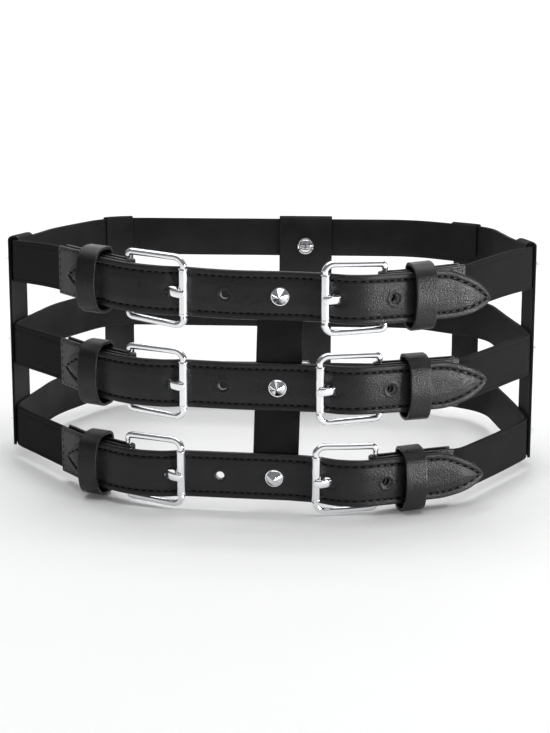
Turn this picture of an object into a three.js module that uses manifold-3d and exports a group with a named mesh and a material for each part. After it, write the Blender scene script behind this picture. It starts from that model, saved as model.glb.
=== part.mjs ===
// Harness belt: three leather belts joined by six upright straps, each belt with two roller buckles.
// Millimetres, +Z up. The front faces -Y and the belt stands on its lower edge.
import * as THREE from 'three';
import { mergeVertices } from 'three/addons/utils/BufferGeometryUtils.js';
import Module from 'manifold-3d';

const wasm = await Module();
wasm.setup();

// Clearances between neighbouring pieces and in a fold over an edge, and the angle between stations on an arc
const gap = 0.3;
const foldGap = 0.45;
const arcStep = 15;
const cutterLength = 24;

// Leather
const base = { width: 22.6, thickness: 2, setback: 8 };
const centre = { width: 24, thickness: 2.6, tipLength: 24 };
const tipSharpness = 0.78;

// The stiff right ends spring off the base strap on the shoulder, and hang down past their keepers
const spring = { from: 94, softness: 8, slope: 0.4, step: 4, hangsFrom: 74 };
const spareHole = { radius: 2.1, left: -27, right: 53.5 };
const chape = { width: 24.5, thickness: 1.8, slotHeight: 5.2, slotFront: 5, slotBack: 4.6 };
const chapeLength = { left: 48.6, right: 40 };
const keeper = { width: 11, thickness: 1.5, height: 32.8, drop: 0.7, crownRadius: 24, frontRadius: 8.5, backRadius: 4 };

// The left loops sit looser, and skew to the strap by a turn in degrees
const keeperSides = {
  left: { fromHeel: 20.4, inside: -4.6, outside: 10, crown: 13, turn: 12 },
  right: { fromHeel: 17.6, inside: -3.4, outside: 9.4, crown: 12.8, turn: 0 },
};
const upright = { width: 22.5, thickness: 1.6, leaf: 18, frontInset: 3 };
const backUpright = { width: 32.6, thickness: 1.4, leaf: 25 };

// Buckle, measured from the heel bar's axis towards the front bar
const frameSize = { height: 33.6, rearHeight: 32.2, reach: 29.9, thickness: 3, arm: 3.2, frontCorner: 6.5,
  rearCorner: 3, bevel: 0.7, innerCorner: 1.2 };
const heelBar = { radius: 1.3, overhang: 1.9 };
const frontBar = { radius: 1.45, overhang: 2.3 };
const roller = { inner: 1.7, outer: 2.25, length: 20.8, sides: 12 };
const prong = { width: 4.1, thickness: 1.5, eye: 1.6, eyeWall: 1.4 };
const prongPath = [
  { along: 3.2, rise: -0.2 },
  { along: 10, rise: -1 },
  { along: 15.5, rise: -2.2 },
  { along: 18.6, rise: -2.1 },
  { along: 20.9, rise: -0.6 },
  { along: 22.9, rise: 1.2 },
  { along: 25.6, rise: 2.7 },
  { along: 29.9, rise: 3.4 },
  { along: 32.1, rise: 2.5 },
];
const prongSlot = { from: 17.7, to: 25.7, height: 4.9 };
const dip = { from: 17.5, to: 30.5, step: 4.3 };

// Studs
const stud = { radius: 4.5, height: 6.4, rim: 0.8, shank: 1.5, capRadius: 5.2, capHeight: 2, sides: 9 };
const studHole = 1.85;

// Heights of the centre strap's middle above the base strap's middle surface
const overChape = 5;
const behindRoller = 2.35;
const frontBarHeight = 6.4;

// Corners of the belt's outline seen from above, from the front round to the right, each with its radius
const frontLine = 5;
const outlineCorners = [
  { place: 'right buckle', x: 40, y: frontLine, radius: 30 },
  { place: 'right shoulder', x: 90, y: 25.5, radius: 14 },
  { place: 'right side', x: 127.7, y: 86, radius: 12 },
  { place: 'right back', x: 108, y: 170, radius: 30 },
  { place: 'back, right end', x: 62, y: 196, radius: 50 },
  { place: 'back, left end', x: -128, y: 184, radius: 30 },
  { place: 'left back', x: -150, y: 133, radius: 80 },
  { place: 'left side', x: -155.5, y: 74, radius: 14 },
  { place: 'left loop', x: -102, y: 23, radius: 30 },
  { place: 'left shoulder', x: -71, y: frontLine, radius: 40 },
];

// Each belt's middle above the floor, and places along it from the middle of the front: stud and heel bars
const rows = [
  { name: 'lower', height: 17.5, stud: -0.5,
    leftHeel: -75.4, rightHeel: 49.2, leftTip: -115.2, rightTip: 102.6, droop: 2.4 },
  { name: 'middle', height: 63.4, stud: 1.2,
    leftHeel: -73.8, rightHeel: 50.8, leftTip: -114.4, rightTip: 103.1, droop: 0 },
  { name: 'upper', height: 108.4, stud: 2.4,
    leftHeel: -73.4, rightHeel: 52.9, leftTip: -112.4, rightTip: 104.1, droop: 5.8 },
];

// Upright straps by the point of the outline that each one crosses
const uprights = [
  { name: 'left_side', x: -154, y: 86, studs: 'left' },
  { name: 'right_side', x: 127.2, y: 98, studs: 'right' },
  { name: 'back_left', x: -121, y: 181, width: 18 },
  { name: 'back_right', x: 92.5, y: 175, width: 18 },
];
const backPlace = { x: -4.5, y: 192, studDrop: { upper: -5, middle: 0, lower: 8.5 } };

// How far the soft belts have settled up or down round a place of the outline
const settled = [
  { place: 'left chapes', x: -108, y: 34, radius: 100, lower: 0.3, middle: 2.3, upper: 5.2 },
  { place: 'right buckles', x: 46, y: 8, radius: 44, lower: -1.3, middle: 0, upper: -0.7 },
  { place: 'right side', x: 112, y: 62, radius: 75, lower: -1, middle: 0.4, upper: 2.6 },
];
const narrowing = 0.012;
const stationStep = 18;

// Colours and finishes
const materials = {
  plainLeather: new THREE.MeshStandardMaterial({ color: 0x17171a, roughness: 0.5, metalness: 0 }),
  grainLeather: new THREE.MeshStandardMaterial({ color: 0x1d1d20, roughness: 0.6, metalness: 0 }),
  chrome: new THREE.MeshStandardMaterial({ color: 0xd8dadd, roughness: 0.12, metalness: 1 }),
};

const belt = new THREE.Group();

function addPiece(name, geometry, material, cutters = []) {
  const whole = settle(geometry);
  const piece = new THREE.Mesh(cutters.length ? cutAway(whole, cutters.map(settle)) : whole, material);
  piece.name = name;
  belt.add(piece);
}

// A step that starts and ends level, from 0 at the first edge to 1 at the second
function smoothStep(edge0, edge1, value) {
  const t = Math.min(Math.max((value - edge0) / (edge1 - edge0), 0), 1);
  return t * t * (3 - 2 * t);
}

// Straight runs and arcs of an outline, each with its length and its point and direction at a distance
function outlineRuns(corners, start) {
  const runs = [];
  let here = new THREE.Vector2(start.x, start.y);
  const addLine = (end) => {
    const from = here.clone();
    const direction = end.clone().sub(from);
    const length = direction.length();
    direction.normalize();
    const at = (s) => ({ point: from.clone().addScaledVector(direction, s), direction: direction.clone() });
    runs.push({ length, steps: 1, at });
    here = end.clone();
  };
  corners.forEach((corner, index) => {
    const point = new THREE.Vector2(corner.x, corner.y);
    const next = corners[index + 1] ?? start;
    const into = point.clone().sub(here).normalize();
    const out = new THREE.Vector2(next.x, next.y).sub(point).normalize();
    const turn = Math.atan2(into.cross(out), into.dot(out));
    const reach = corner.radius * Math.tan(Math.abs(turn) / 2);
    addLine(point.clone().addScaledVector(into, -reach));
    const side = Math.sign(turn);
    const hub = here.clone().add(new THREE.Vector2(-into.y, into.x).multiplyScalar(side * corner.radius));
    const startAngle = Math.atan2(here.y - hub.y, here.x - hub.x);
    const at = (s) => {
      const angle = startAngle + side * s / corner.radius;
      const point = new THREE.Vector2(Math.cos(angle), Math.sin(angle)).multiplyScalar(corner.radius).add(hub);
      return { point, direction: new THREE.Vector2(-Math.sin(angle), Math.cos(angle)).multiplyScalar(side) };
    };
    const length = corner.radius * Math.abs(turn);
    const stepAngle = THREE.MathUtils.degToRad(corner.step ?? arcStep);
    runs.push({ length, steps: Math.ceil(Math.abs(turn) / stepAngle), at });
    here = at(length).point;
  });
  addLine(new THREE.Vector2(start.x, start.y));
  return runs;
}

// Points of a closed outline, moved inwards by an inset
function outlinePoints(runs, inset) {
  return runs.flatMap((run) => Array.from({ length: run.steps }, (_, i) => {
    const { point, direction } = run.at(run.length * i / run.steps);
    return new THREE.Vector2(point.x - direction.y * inset, point.y + direction.x * inset);
  }));
}

const loop = outlineRuns(outlineCorners, { x: 0, y: frontLine });
const loopLength = loop.reduce((sum, run) => sum + run.length, 0);

// The outline's point, direction and outward normal at a distance from the middle of the front
function alongLoop(distance) {
  let rest = ((distance % loopLength) + loopLength) % loopLength;
  let run = loop[0];
  for (run of loop) {
    if (rest <= run.length) break;
    rest -= run.length;
  }
  const { point, direction } = run.at(rest);
  return { point, direction, outward: new THREE.Vector2(direction.y, -direction.x) };
}

// Distances at which the outline bends, within a stretch of it
function bendsBetween(from, to) {
  const bends = [];
  for (const turns of [-1, 0, 1]) {
    let start = turns * loopLength;
    for (const run of loop) {
      for (let step = 0; step < run.steps; step += 1) {
        bends.push(start + run.length * step / run.steps);
      }
      start += run.length;
    }
  }
  return bends.filter((s) => s > from + 0.5 && s < to - 0.5);
}

// Distances at which a strap gets a station, so that it can settle smoothly round its sides
function stationsBetween(from, to) {
  const stations = [];
  for (let s = Math.ceil(from / stationStep) * stationStep; s < to; s += stationStep) {
    const { point } = alongLoop(s);
    if (settled.some((patch) => Math.hypot(point.x - patch.x, point.y - patch.y) < patch.radius)) stations.push(s);
  }
  return stations;
}

function distanceNear(x, y) {
  let best = 0;
  let nearest = Infinity;
  for (let s = 0; s < loopLength; s += 0.25) {
    const { point } = alongLoop(s);
    const apart = Math.hypot(point.x - x, point.y - y);
    if (apart < nearest) {
      nearest = apart;
      best = s;
    }
  }
  return best;
}

// Moves a piece's points up or down to where the soft belts have settled, and inwards as the belts narrow upwards
function settle(geometry) {
  const position = geometry.attributes.position;
  const [lower, middle, upper] = rows;
  const clear = keeper.height / 2 + 2;
  for (let i = 0; i < position.count; i += 1) {
    const z = position.getZ(i);
    const pastLower = smoothStep(lower.height + clear, middle.height - clear, z);
    const pastMiddle = smoothStep(middle.height + clear, upper.height - clear, z);
    const rise = settled.reduce((sum, patch) => {
      const apart = Math.hypot(position.getX(i) - patch.x, position.getY(i) - patch.y) / patch.radius;
      const weight = Math.max(1 - apart * apart, 0) ** 2;
      const low = patch.lower + (patch.middle - patch.lower) * pastLower;
      return sum + weight * (low + (patch.upper - low) * pastMiddle);
    }, 0);
    const climb = (z - lower.height) / (upper.height - lower.height);
    position.setX(i, position.getX(i) * (1 - narrowing * climb));
    position.setZ(i, z + rise);
  }
  return geometry;
}

function toSolid(geometry) {
  const bare = geometry.clone();
  bare.deleteAttribute('normal');
  bare.deleteAttribute('uv');
  const merged = mergeVertices(bare, 1e-4);
  const vertProperties = new Float32Array(merged.attributes.position.array);
  const triVerts = new Uint32Array(merged.index.array);
  return new wasm.Manifold(new wasm.Mesh({ numProp: 3, vertProperties, triVerts }));
}

function toGeometry(solid) {
  const mesh = solid.getMesh();
  const geometry = new THREE.BufferGeometry();
  geometry.setAttribute('position', new THREE.BufferAttribute(new Float32Array(mesh.vertProperties), 3));
  geometry.setIndex(new THREE.BufferAttribute(new Uint32Array(mesh.triVerts), 1));
  geometry.computeVertexNormals();
  return geometry;
}

function cutAway(geometry, cutters) {
  const solid = cutters.reduce((rest, cutter) => rest.subtract(toSolid(cutter)), toSolid(geometry));
  return toGeometry(solid);
}

function joinAll(geometries) {
  const [first, ...others] = geometries.map(toSolid);
  return toGeometry(others.reduce((whole, other) => whole.add(other), first));
}

// A strap that follows the outline: its plan from the two faces' offsets, drawn up by its width
function strapBand({ from, to, inner, outer, width, height, stations = [] }) {
  const marks = [from, ...bendsBetween(from, to), ...stations.filter((s) => s > from && s < to), to];
  marks.sort((a, b) => a - b);
  const faceAt = (offset) => (s) => {
    const { point, outward } = alongLoop(s);
    return point.clone().addScaledVector(outward, offset(s));
  };
  const outline = [...marks.map(faceAt(outer)), ...marks.reverse().map(faceAt(inner))];
  const band = new THREE.ExtrudeGeometry(new THREE.Shape(outline), { depth: width, bevelEnabled: false });
  return band.translate(0, 0, height - width / 2);
}

// Axes at a place on a belt: X along the outline, Y outwards and Z up
function placeAt(s, offset, height) {
  const { point, direction, outward } = alongLoop(s);
  const along = new THREE.Vector3(-direction.x, -direction.y, 0);
  const out = new THREE.Vector3(outward.x, outward.y, 0);
  const matrix = new THREE.Matrix4().makeBasis(along, out, new THREE.Vector3(0, 0, 1));
  return matrix.setPosition(point.x + out.x * offset, point.y + out.y * offset, height);
}

// A round cutter through all layers at a place on a belt
function roundCutter(s, height, radius) {
  const sides = 8;
  return new THREE.CylinderGeometry(radius, radius, cutterLength, sides).applyMatrix4(placeAt(s, 0, height));
}

// The slot with round ends that a buckle's prong comes up through
function slotCutter(row, side) {
  const radius = prongSlot.height / 2;
  const shape = new THREE.Shape();
  shape.absarc(prongSlot.from + radius, 0, radius, Math.PI / 2, Math.PI * 1.5, false);
  shape.absarc(prongSlot.to - radius, 0, radius, -Math.PI / 2, Math.PI / 2, false);
  const slot = new THREE.ExtrudeGeometry(shape, { depth: cutterLength, bevelEnabled: false, curveSegments: 4 });
  return slot.translate(0, 0, -cutterLength / 2).applyMatrix4(buckleAxes(row, side));
}

// How far the middle of a centre strap's end lies from a place of the outline, in the outline's direction there
function tipReach(row, tip, place) {
  const { point, outward } = alongLoop(tip);
  return point.addScaledVector(outward, centreOffset(row, tip)).sub(place.point).dot(place.direction);
}

// The waste round a pointed end: half width falls as (1 - t^2) to the power of the sharpness along the tip
function tipCutter(row, tip, towards) {
  const s = tip - towards * centre.tipLength;
  const reach = towards * tipReach(row, tip, alongLoop(s));
  const half = centre.width / 2;
  const steps = 6;
  const start = 0.4;
  const beyond = 3;
  const outline = [[start, half + beyond], [reach + beyond, half + beyond],
    [reach + beyond, -half - beyond], [start, -half - beyond]];
  for (let i = -steps; i <= steps; i += 1) {
    const across = Math.sin(i / steps * Math.PI / 2);
    const t = Math.sqrt(Math.max(1 - Math.abs(across) ** (1 / tipSharpness), 0));
    outline.push([start + (reach - start) * t, half * across]);
  }
  const shape = new THREE.Shape(outline.map(([x, y]) => new THREE.Vector2(-towards * x, y)));
  const waste = new THREE.ExtrudeGeometry(shape, { depth: cutterLength, bevelEnabled: false });
  return waste.translate(0, 0, -cutterLength / 2).rotateX(Math.PI / 2).applyMatrix4(placeAt(s, 0, row.height));
}

function makeBaseStrap(row, studs) {
  const half = base.thickness / 2;
  const { height } = row;
  const from = row.rightHeel + base.setback;
  const to = loopLength + row.leftHeel - base.setback;
  const band = strapBand({
    from,
    to,
    stations: stationsBetween(from, to),
    inner: () => -half,
    outer: () => half,
    width: base.width,
    height,
  });
  const cutters = studs.map(({ s, rise }) => roundCutter(s, height + rise, studHole));
  addPiece(`${row.name}_base_strap`, band, materials.plainLeather, cutters);
}

// Height of the centre strap's middle: over the chapes at both ends, in behind the rollers between them
function centreOffset(row, s) {
  const share = smoothStep(row.rightHeel - dip.from, row.rightHeel - dip.to, s)
    * smoothStep(row.leftHeel + dip.from, row.leftHeel + dip.to, s);
  return overChape + (behindRoller - overChape) * share + spring.slope * pastSpring(s);
}

// Distance past the place where the right end springs off, eased in by a parabola
function pastSpring(s) {
  const { from, softness } = spring;
  const eased = Math.min(Math.max(s - from + softness, 0), 2 * softness) ** 2 / (4 * softness);
  return Math.max(s - from, eased);
}

// Lowers the right end by the square of the distance past its keeper
function hang(geometry, row) {
  const start = alongLoop(spring.hangsFrom);
  const reach = tipReach(row, row.rightTip, start);
  const position = geometry.attributes.position;
  for (let i = 0; i < position.count; i += 1) {
    const place = new THREE.Vector2(position.getX(i), position.getY(i)).sub(start.point);
    const past = Math.max(place.dot(start.direction) / reach, 0);
    position.setZ(i, position.getZ(i) - row.droop * past * past);
  }
  return geometry;
}

function makeCentreStrap(row) {
  const { height } = row;
  const half = centre.thickness / 2;
  const from = row.leftTip;
  const to = row.rightTip;
  const stations = stationsBetween(from, to);
  for (let step = dip.from; step <= dip.to; step += dip.step) {
    stations.push(row.rightHeel - step, row.leftHeel + step);
  }
  for (let s = spring.hangsFrom; s < to; s += spring.step) stations.push(s);
  const band = strapBand({
    from,
    to,
    inner: (s) => centreOffset(row, s) - half,
    outer: (s) => centreOffset(row, s) + half,
    width: centre.width,
    height,
    stations,
  });
  const cutters = [
    hang(tipCutter(row, to, 1), row),
    tipCutter(row, from, -1),
    roundCutter(row.stud, height, studHole),
    roundCutter(row.stud + spareHole.left, height, spareHole.radius),
    roundCutter(row.stud + spareHole.right, height, spareHole.radius),
    slotCutter(row, 'left'),
    slotCutter(row, 'right'),
  ];
  addPiece(`${row.name}_centre_strap`, hang(band, row), materials.grainLeather, cutters);
}

// A chape is one strip folded round the heel bar, with its two layers on both faces of the base strap
function makeChape(row, side) {
  const heel = row[`${side}Heel`];
  const away = side === 'right' ? 1 : -1;
  const { height } = row;
  const near = base.thickness / 2 + gap;
  const eye = heelBar.radius + gap;
  const flareLength = 6;
  const end = heel + away * chapeLength[side];
  const span = [Math.min(heel, end), Math.max(heel, end)];
  const inner = [...bendsBetween(...span), ...stationsBetween(...span)]
    .filter((s) => Math.abs(s - heel) > flareLength + 2 && Math.abs(s - end) > 1);
  const marks = [heel, heel + away * flareLength, ...inner, end];
  marks.sort((a, b) => away * (a - b));
  const at = (s, offset) => {
    const { point, outward } = alongLoop(s);
    return point.clone().addScaledVector(outward, offset);
  };
  const layer = (s, extra) => Math.abs(s - heel) < flareLength - 1 ? eye + extra : near + extra;
  const bend = (radius, from, to) => {
    const { point, direction, outward } = alongLoop(heel);
    const steps = 6;
    return Array.from({ length: steps - 1 }, (_, i) => {
      const angle = from + (to - from) * (i + 1) / steps;
      return point.clone()
        .addScaledVector(direction, -away * radius * Math.cos(angle))
        .addScaledVector(outward, radius * Math.sin(angle));
    });
  };
  const outerLeg = [...marks].reverse();
  const quarter = Math.PI / 2;
  const outline = [
    ...outerLeg.map((s) => at(s, layer(s, chape.thickness))),
    ...bend(eye + chape.thickness, quarter, -quarter),
    ...marks.map((s) => at(s, -layer(s, chape.thickness))),
    ...outerLeg.map((s) => at(s, -layer(s, 0))),
    ...bend(eye, -quarter, quarter),
    ...marks.map((s) => at(s, layer(s, 0))),
  ];
  const strip = new THREE.ExtrudeGeometry(new THREE.Shape(outline), { depth: chape.width, bevelEnabled: false });
  strip.translate(0, 0, height - chape.width / 2);
  const slot = new THREE.BoxGeometry(chape.slotFront + chape.slotBack, cutterLength, chape.slotHeight);
  slot.translate(away * (chape.slotFront - chape.slotBack) / 2, 0, 0).applyMatrix4(placeAt(heel, 0, height));
  addPiece(`${row.name}_${side}_chape`, strip, materials.grainLeather, [slot]);
}

// Axes of a buckle: X from the heel bar to the front bar, Y along the bars, Z outwards
function buckleAxes(row, side) {
  const heel = row[`${side}Heel`];
  const away = side === 'right' ? 1 : -1;
  const start = alongLoop(heel).point;
  let front = start;
  for (let s = 20; s < frameSize.reach + 5; s += 0.01) {
    const { point, outward } = alongLoop(heel - away * s);
    front = point.clone().addScaledVector(outward, frontBarHeight);
    if (front.distanceTo(start) >= frameSize.reach) break;
  }
  const along = front.sub(start).normalize();
  const xAxis = new THREE.Vector3(along.x, along.y, 0);
  const yAxis = new THREE.Vector3(0, 0, -away);
  const matrix = new THREE.Matrix4().makeBasis(xAxis, yAxis, xAxis.clone().cross(yAxis));
  return matrix.setPosition(start.x, start.y, row.height);
}

// The frame: a flat ring with its front corners rounded more, and round bars where it is worn by leather
function makeFrame() {
  const half = frameSize.height / 2;
  const rearHalf = frameSize.rearHeight / 2;
  const rear = -heelBar.overhang;
  const front = frameSize.reach + frontBar.overhang;
  const outline = outlinePoints(outlineRuns([
    { x: front, y: half, radius: frameSize.frontCorner, step: 30 },
    { x: rear, y: rearHalf, radius: frameSize.rearCorner, step: 45 },
    { x: rear, y: -rearHalf, radius: frameSize.rearCorner, step: 45 },
    { x: front, y: -half, radius: frameSize.frontCorner, step: 30 },
  ], { x: front, y: 0 }), 0);
  const { bevel, innerCorner } = frameSize;
  const plate = new THREE.ExtrudeGeometry(new THREE.Shape(outline), {
    depth: frameSize.thickness - 2 * bevel, bevelThickness: bevel, bevelSize: bevel, bevelOffset: -bevel,
    bevelSegments: 1,
  });
  plate.translate(0, 0, bevel - frameSize.thickness / 2);
  const clear = half - frameSize.arm;
  const rearClear = rearHalf - frameSize.arm;
  const arcEnd = front - frameSize.frontCorner;
  const barEnd = clear - innerCorner;
  const inner = [[rear - 1, -rearClear], [arcEnd, -clear], [arcEnd + innerCorner, -barEnd], [front + 1, -barEnd],
    [front + 1, barEnd], [arcEnd + innerCorner, barEnd], [arcEnd, clear], [rear - 1, rearClear]];
  const window = new THREE.ExtrudeGeometry(new THREE.Shape(inner.map(([x, y]) => new THREE.Vector2(x, y))), {
    depth: cutterLength, bevelEnabled: false,
  });
  const arms = cutAway(plate, [window.translate(0, 0, -cutterLength / 2)]);
  const barLength = rearClear + clear;
  const heel = new THREE.CylinderGeometry(heelBar.radius, heelBar.radius, barLength, 8);
  const bar = new THREE.CylinderGeometry(frontBar.radius, frontBar.radius, barLength, 10);
  return joinAll([arms, heel, bar.translate(frameSize.reach, 0, 0)]);
}

function makeRoller() {
  const half = roller.length / 2;
  const profile = [[roller.inner, -half], [roller.outer, -half], [roller.outer, half], [roller.inner, half],
    [roller.inner, -half]];
  const tube = new THREE.LatheGeometry(profile.map(([r, y]) => new THREE.Vector2(r, y)), roller.sides);
  return tube.translate(frameSize.reach, 0, 0);
}

// The prong in side view: an eye round the heel bar, flat under the strap, up through its hole, over the roller
function makeProng() {
  const half = prong.thickness / 2;
  const middle = new THREE.CatmullRomCurve3(prongPath.map(({ along, rise }) => new THREE.Vector3(along, rise, 0)));
  const samples = 10;
  const upper = [];
  const lower = [];
  for (let i = 0; i <= samples; i += 1) {
    const point = middle.getPointAt(i / samples);
    const tangent = middle.getTangentAt(i / samples);
    const taper = half * (1 - 0.25 * smoothStep(0.8, 1, i / samples));
    upper.push(new THREE.Vector2(point.x - tangent.y * taper, point.y + tangent.x * taper));
    lower.push(new THREE.Vector2(point.x + tangent.y * taper, point.y - tangent.x * taper));
  }
  const eyeOuter = prong.eye + prong.eyeWall;
  const opening = Math.asin(half / eyeOuter);
  const eyeSteps = 10;
  const eyeOutline = Array.from({ length: eyeSteps + 1 }, (_, i) => {
    const angle = opening + (2 * Math.PI - 2 * opening) * i / eyeSteps;
    return new THREE.Vector2(eyeOuter * Math.cos(angle), eyeOuter * Math.sin(angle));
  });
  const shape = new THREE.Shape([...eyeOutline, ...lower.slice(1), ...upper.slice(1).reverse()]);
  const eye = new THREE.Path();
  eye.absarc(0, 0, prong.eye, 0, 2 * Math.PI, true);
  shape.holes.push(eye);
  const tongue = new THREE.ExtrudeGeometry(shape, { depth: prong.width, bevelEnabled: false, curveSegments: 5 });
  return tongue.translate(0, 0, -prong.width / 2).rotateX(-Math.PI / 2).rotateX(Math.PI);
}

// A keeper in section across the belt: flat behind, round at its corners and crowned in front
function makeKeeper(row, side) {
  const heel = row[`${side}Heel`];
  const away = side === 'right' ? 1 : -1;
  const { fromHeel, inside, outside, crown, turn } = keeperSides[side];
  const half = keeper.height / 2;
  const back = inside - keeper.thickness;
  const section = outlineRuns([
    { x: outside, y: -half, radius: keeper.frontRadius, step: 30 },
    { x: crown, y: 0, radius: keeper.crownRadius, step: 20 },
    { x: outside, y: half, radius: keeper.frontRadius, step: 30 },
    { x: back, y: half, radius: keeper.backRadius, step: 45 },
    { x: back, y: -half, radius: keeper.backRadius, step: 45 },
  ], { x: (outside + back) / 2, y: -half });
  const shape = new THREE.Shape(outlinePoints(section, 0));
  shape.holes.push(new THREE.Path(outlinePoints(section, keeper.thickness)));
  const ring = new THREE.ExtrudeGeometry(shape, { depth: keeper.width, bevelEnabled: false });
  ring.translate(0, 0, -keeper.width / 2);
  const { point, direction, outward } = alongLoop(heel + away * fromHeel);
  const up = new THREE.Vector3(0, 0, 1);
  const skew = THREE.MathUtils.degToRad(turn);
  const out = new THREE.Vector3(outward.x, outward.y, 0).applyAxisAngle(up, skew);
  const along = new THREE.Vector3(-direction.x, -direction.y, 0).applyAxisAngle(up, skew);
  const matrix = new THREE.Matrix4().makeBasis(out, up, along);
  matrix.setPosition(point.x, point.y, row.height - keeper.drop);
  addPiece(`${row.name}_${side}_keeper`, ring.applyMatrix4(matrix), materials.grainLeather);
}

// A cone stud with its shank through the layers and a domed cap on the inner face
function addStud(name, row, s, rise, outerFace, innerFace) {
  const top = outerFace + gap;
  const bottom = innerFace - gap;
  const profile = [
    [0, top + stud.height], [stud.radius, top + stud.rim], [stud.radius, top], [stud.shank, top],
    [stud.shank, bottom], [stud.capRadius, bottom], [stud.capRadius * 0.6, bottom - stud.capHeight * 0.85],
    [0, bottom - stud.capHeight],
  ];
  const turned = new THREE.LatheGeometry(profile.reverse().map(([r, y]) => new THREE.Vector2(r, y)), stud.sides);
  addPiece(name, turned.applyMatrix4(placeAt(s, 0, row.height + rise)), materials.chrome);
}

// An upright strap from its section across the belt, carried along the outline by the strap's width
function wrapSection(section, s, width) {
  const from = s - width / 2;
  const to = s + width / 2;
  const inner = [...bendsBetween(from, to), ...stationsBetween(from, to)];
  const marks = [from, ...inner.sort((a, b) => a - b), to].reverse();
  const steps = marks.length - 1;
  const shape = new THREE.Shape(section.map(([out, up]) => new THREE.Vector2(out, up)));
  const strap = new THREE.ExtrudeGeometry(shape, { depth: steps, steps, bevelEnabled: false });
  const position = strap.attributes.position;
  for (let i = 0; i < position.count; i += 1) {
    const { point, outward } = alongLoop(marks[Math.round(position.getZ(i))]);
    const out = position.getX(i);
    position.setXYZ(i, point.x + outward.x * out, point.y + outward.y * out, position.getY(i));
  }
  return strap;
}

// Points of a half-round fold over an edge, from the outer face to the inner one
function foldPoints(near, thickness, level, sign) {
  const points = [];
  const outer = near + thickness;
  const steps = 4;
  for (let i = 0; i <= steps; i += 1) {
    const angle = Math.PI * i / steps;
    points.push([outer * Math.cos(angle), level + sign * (foldGap + thickness) * Math.sin(angle)]);
  }
  return points;
}

function makeSideUpright(place) {
  const s = distanceNear(place.x, place.y);
  const near = base.thickness / 2 + gap;
  const far = near + upright.thickness;
  const bottom = rows[0].height - base.width / 2;
  const top = rows[2].height + base.width / 2;
  const leafEnd = top - upright.leaf;
  const section = [
    [near, bottom], [far, bottom],
    ...foldPoints(near, upright.thickness, top, 1),
    [-far, leafEnd], [-near, leafEnd],
    [-near, top + foldGap], [near, top + foldGap],
  ];
  const strap = wrapSection(section, s, place.width ?? upright.width);
  const cutters = place.studs
    ? rows.map((row) => roundCutter(s, row.height, studHole)) : [];
  addPiece(`${place.name}_upright_strap`, strap, materials.plainLeather, cutters);
  if (!place.studs) return;
  for (const row of rows) {
    const inner = row.name === 'upper' ? -far : -near + gap;
    addStud(`${row.name}_${place.studs}_stud`, row, s, 0, far, inner);
  }
}

// The back strap lies inside the belts, folded out over the upper one and under the lower one
function makeBackUpright() {
  const s = distanceNear(backPlace.x, backPlace.y);
  const near = base.thickness / 2 + gap;
  const far = near + backUpright.thickness;
  const bottom = rows[0].height - base.width / 2;
  const top = rows[2].height + base.width / 2;
  const section = [
    [near, top - backUpright.leaf], [far, top - backUpright.leaf],
    ...foldPoints(near, backUpright.thickness, top, 1),
    ...foldPoints(near, backUpright.thickness, bottom, -1).reverse(),
    [far, bottom + backUpright.leaf], [near, bottom + backUpright.leaf],
    [near, bottom - foldGap], [-near, bottom - foldGap],
    [-near, top + foldGap], [near, top + foldGap],
  ];
  const strap = wrapSection(section, s, backUpright.width);
  const cutters = rows.map((row) => roundCutter(s, row.height + backPlace.studDrop[row.name], studHole));
  addPiece('back_upright_strap', strap, materials.plainLeather, cutters);
  for (const row of rows) {
    const outer = row.name === 'middle' ? near - gap : far;
    addStud(`${row.name}_back_stud`, row, s, backPlace.studDrop[row.name], outer, -far);
  }
}

// The front strap stands behind the centre straps and leans with their studs
function makeFrontUpright() {
  const face = behindRoller - centre.thickness / 2 - gap;
  const [lower, , upper] = rows;
  const reach = centre.width / 2 - upright.frontInset;
  const bottom = lower.height - reach;
  const top = upper.height + reach;
  const lean = (upper.stud - lower.stud) / (upper.height - lower.height);
  const half = upright.width / 2;
  const at = (side, z) => new THREE.Vector2(lower.stud + lean * (z - lower.height) + side * half, z);
  const shape = new THREE.Shape([at(-1, bottom), at(1, bottom), at(1, top), at(-1, top)]);
  const strap = new THREE.ExtrudeGeometry(shape, { depth: upright.thickness, bevelEnabled: false });
  strap.rotateX(Math.PI / 2).translate(0, frontLine - face + upright.thickness, 0);
  const cutters = rows.map((row) => roundCutter(row.stud, row.height, studHole));
  addPiece('front_upright_strap', strap, materials.plainLeather, cutters);
  for (const row of rows) {
    const outer = behindRoller + centre.thickness / 2;
    addStud(`${row.name}_front_stud`, row, row.stud, 0, outer, face - upright.thickness);
  }
}

const frameGeometry = makeFrame();
const rollerGeometry = makeRoller();
const prongGeometry = makeProng();
const backDistance = distanceNear(backPlace.x, backPlace.y);

for (const row of rows) {
  const sideStuds = uprights.filter((place) => place.studs)
    .map((place) => ({ s: distanceNear(place.x, place.y), rise: 0 }));
  makeBaseStrap(row, [...sideStuds, { s: backDistance, rise: backPlace.studDrop[row.name] }]);
  makeCentreStrap(row);
  for (const side of ['left', 'right']) {
    makeChape(row, side);
    const axes = buckleAxes(row, side);
    addPiece(`${row.name}_${side}_buckle_frame`, frameGeometry.clone().applyMatrix4(axes), materials.chrome);
    addPiece(`${row.name}_${side}_roller`, rollerGeometry.clone().applyMatrix4(axes), materials.chrome);
    addPiece(`${row.name}_${side}_prong`, prongGeometry.clone().applyMatrix4(axes), materials.chrome);
    makeKeeper(row, side);
  }
}
uprights.forEach(makeSideUpright);
makeBackUpright();
makeFrontUpright();

// The origin is the middle of the underside of the belt's box
const box = new THREE.Box3().setFromObject(belt);
const middle = box.getCenter(new THREE.Vector3());
belt.position.set(-middle.x, -middle.y, -box.min.z);

export default belt;
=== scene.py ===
"""Harness belt of black imitation leather: three buckled belts joined by upright straps and cone studs."""

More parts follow.
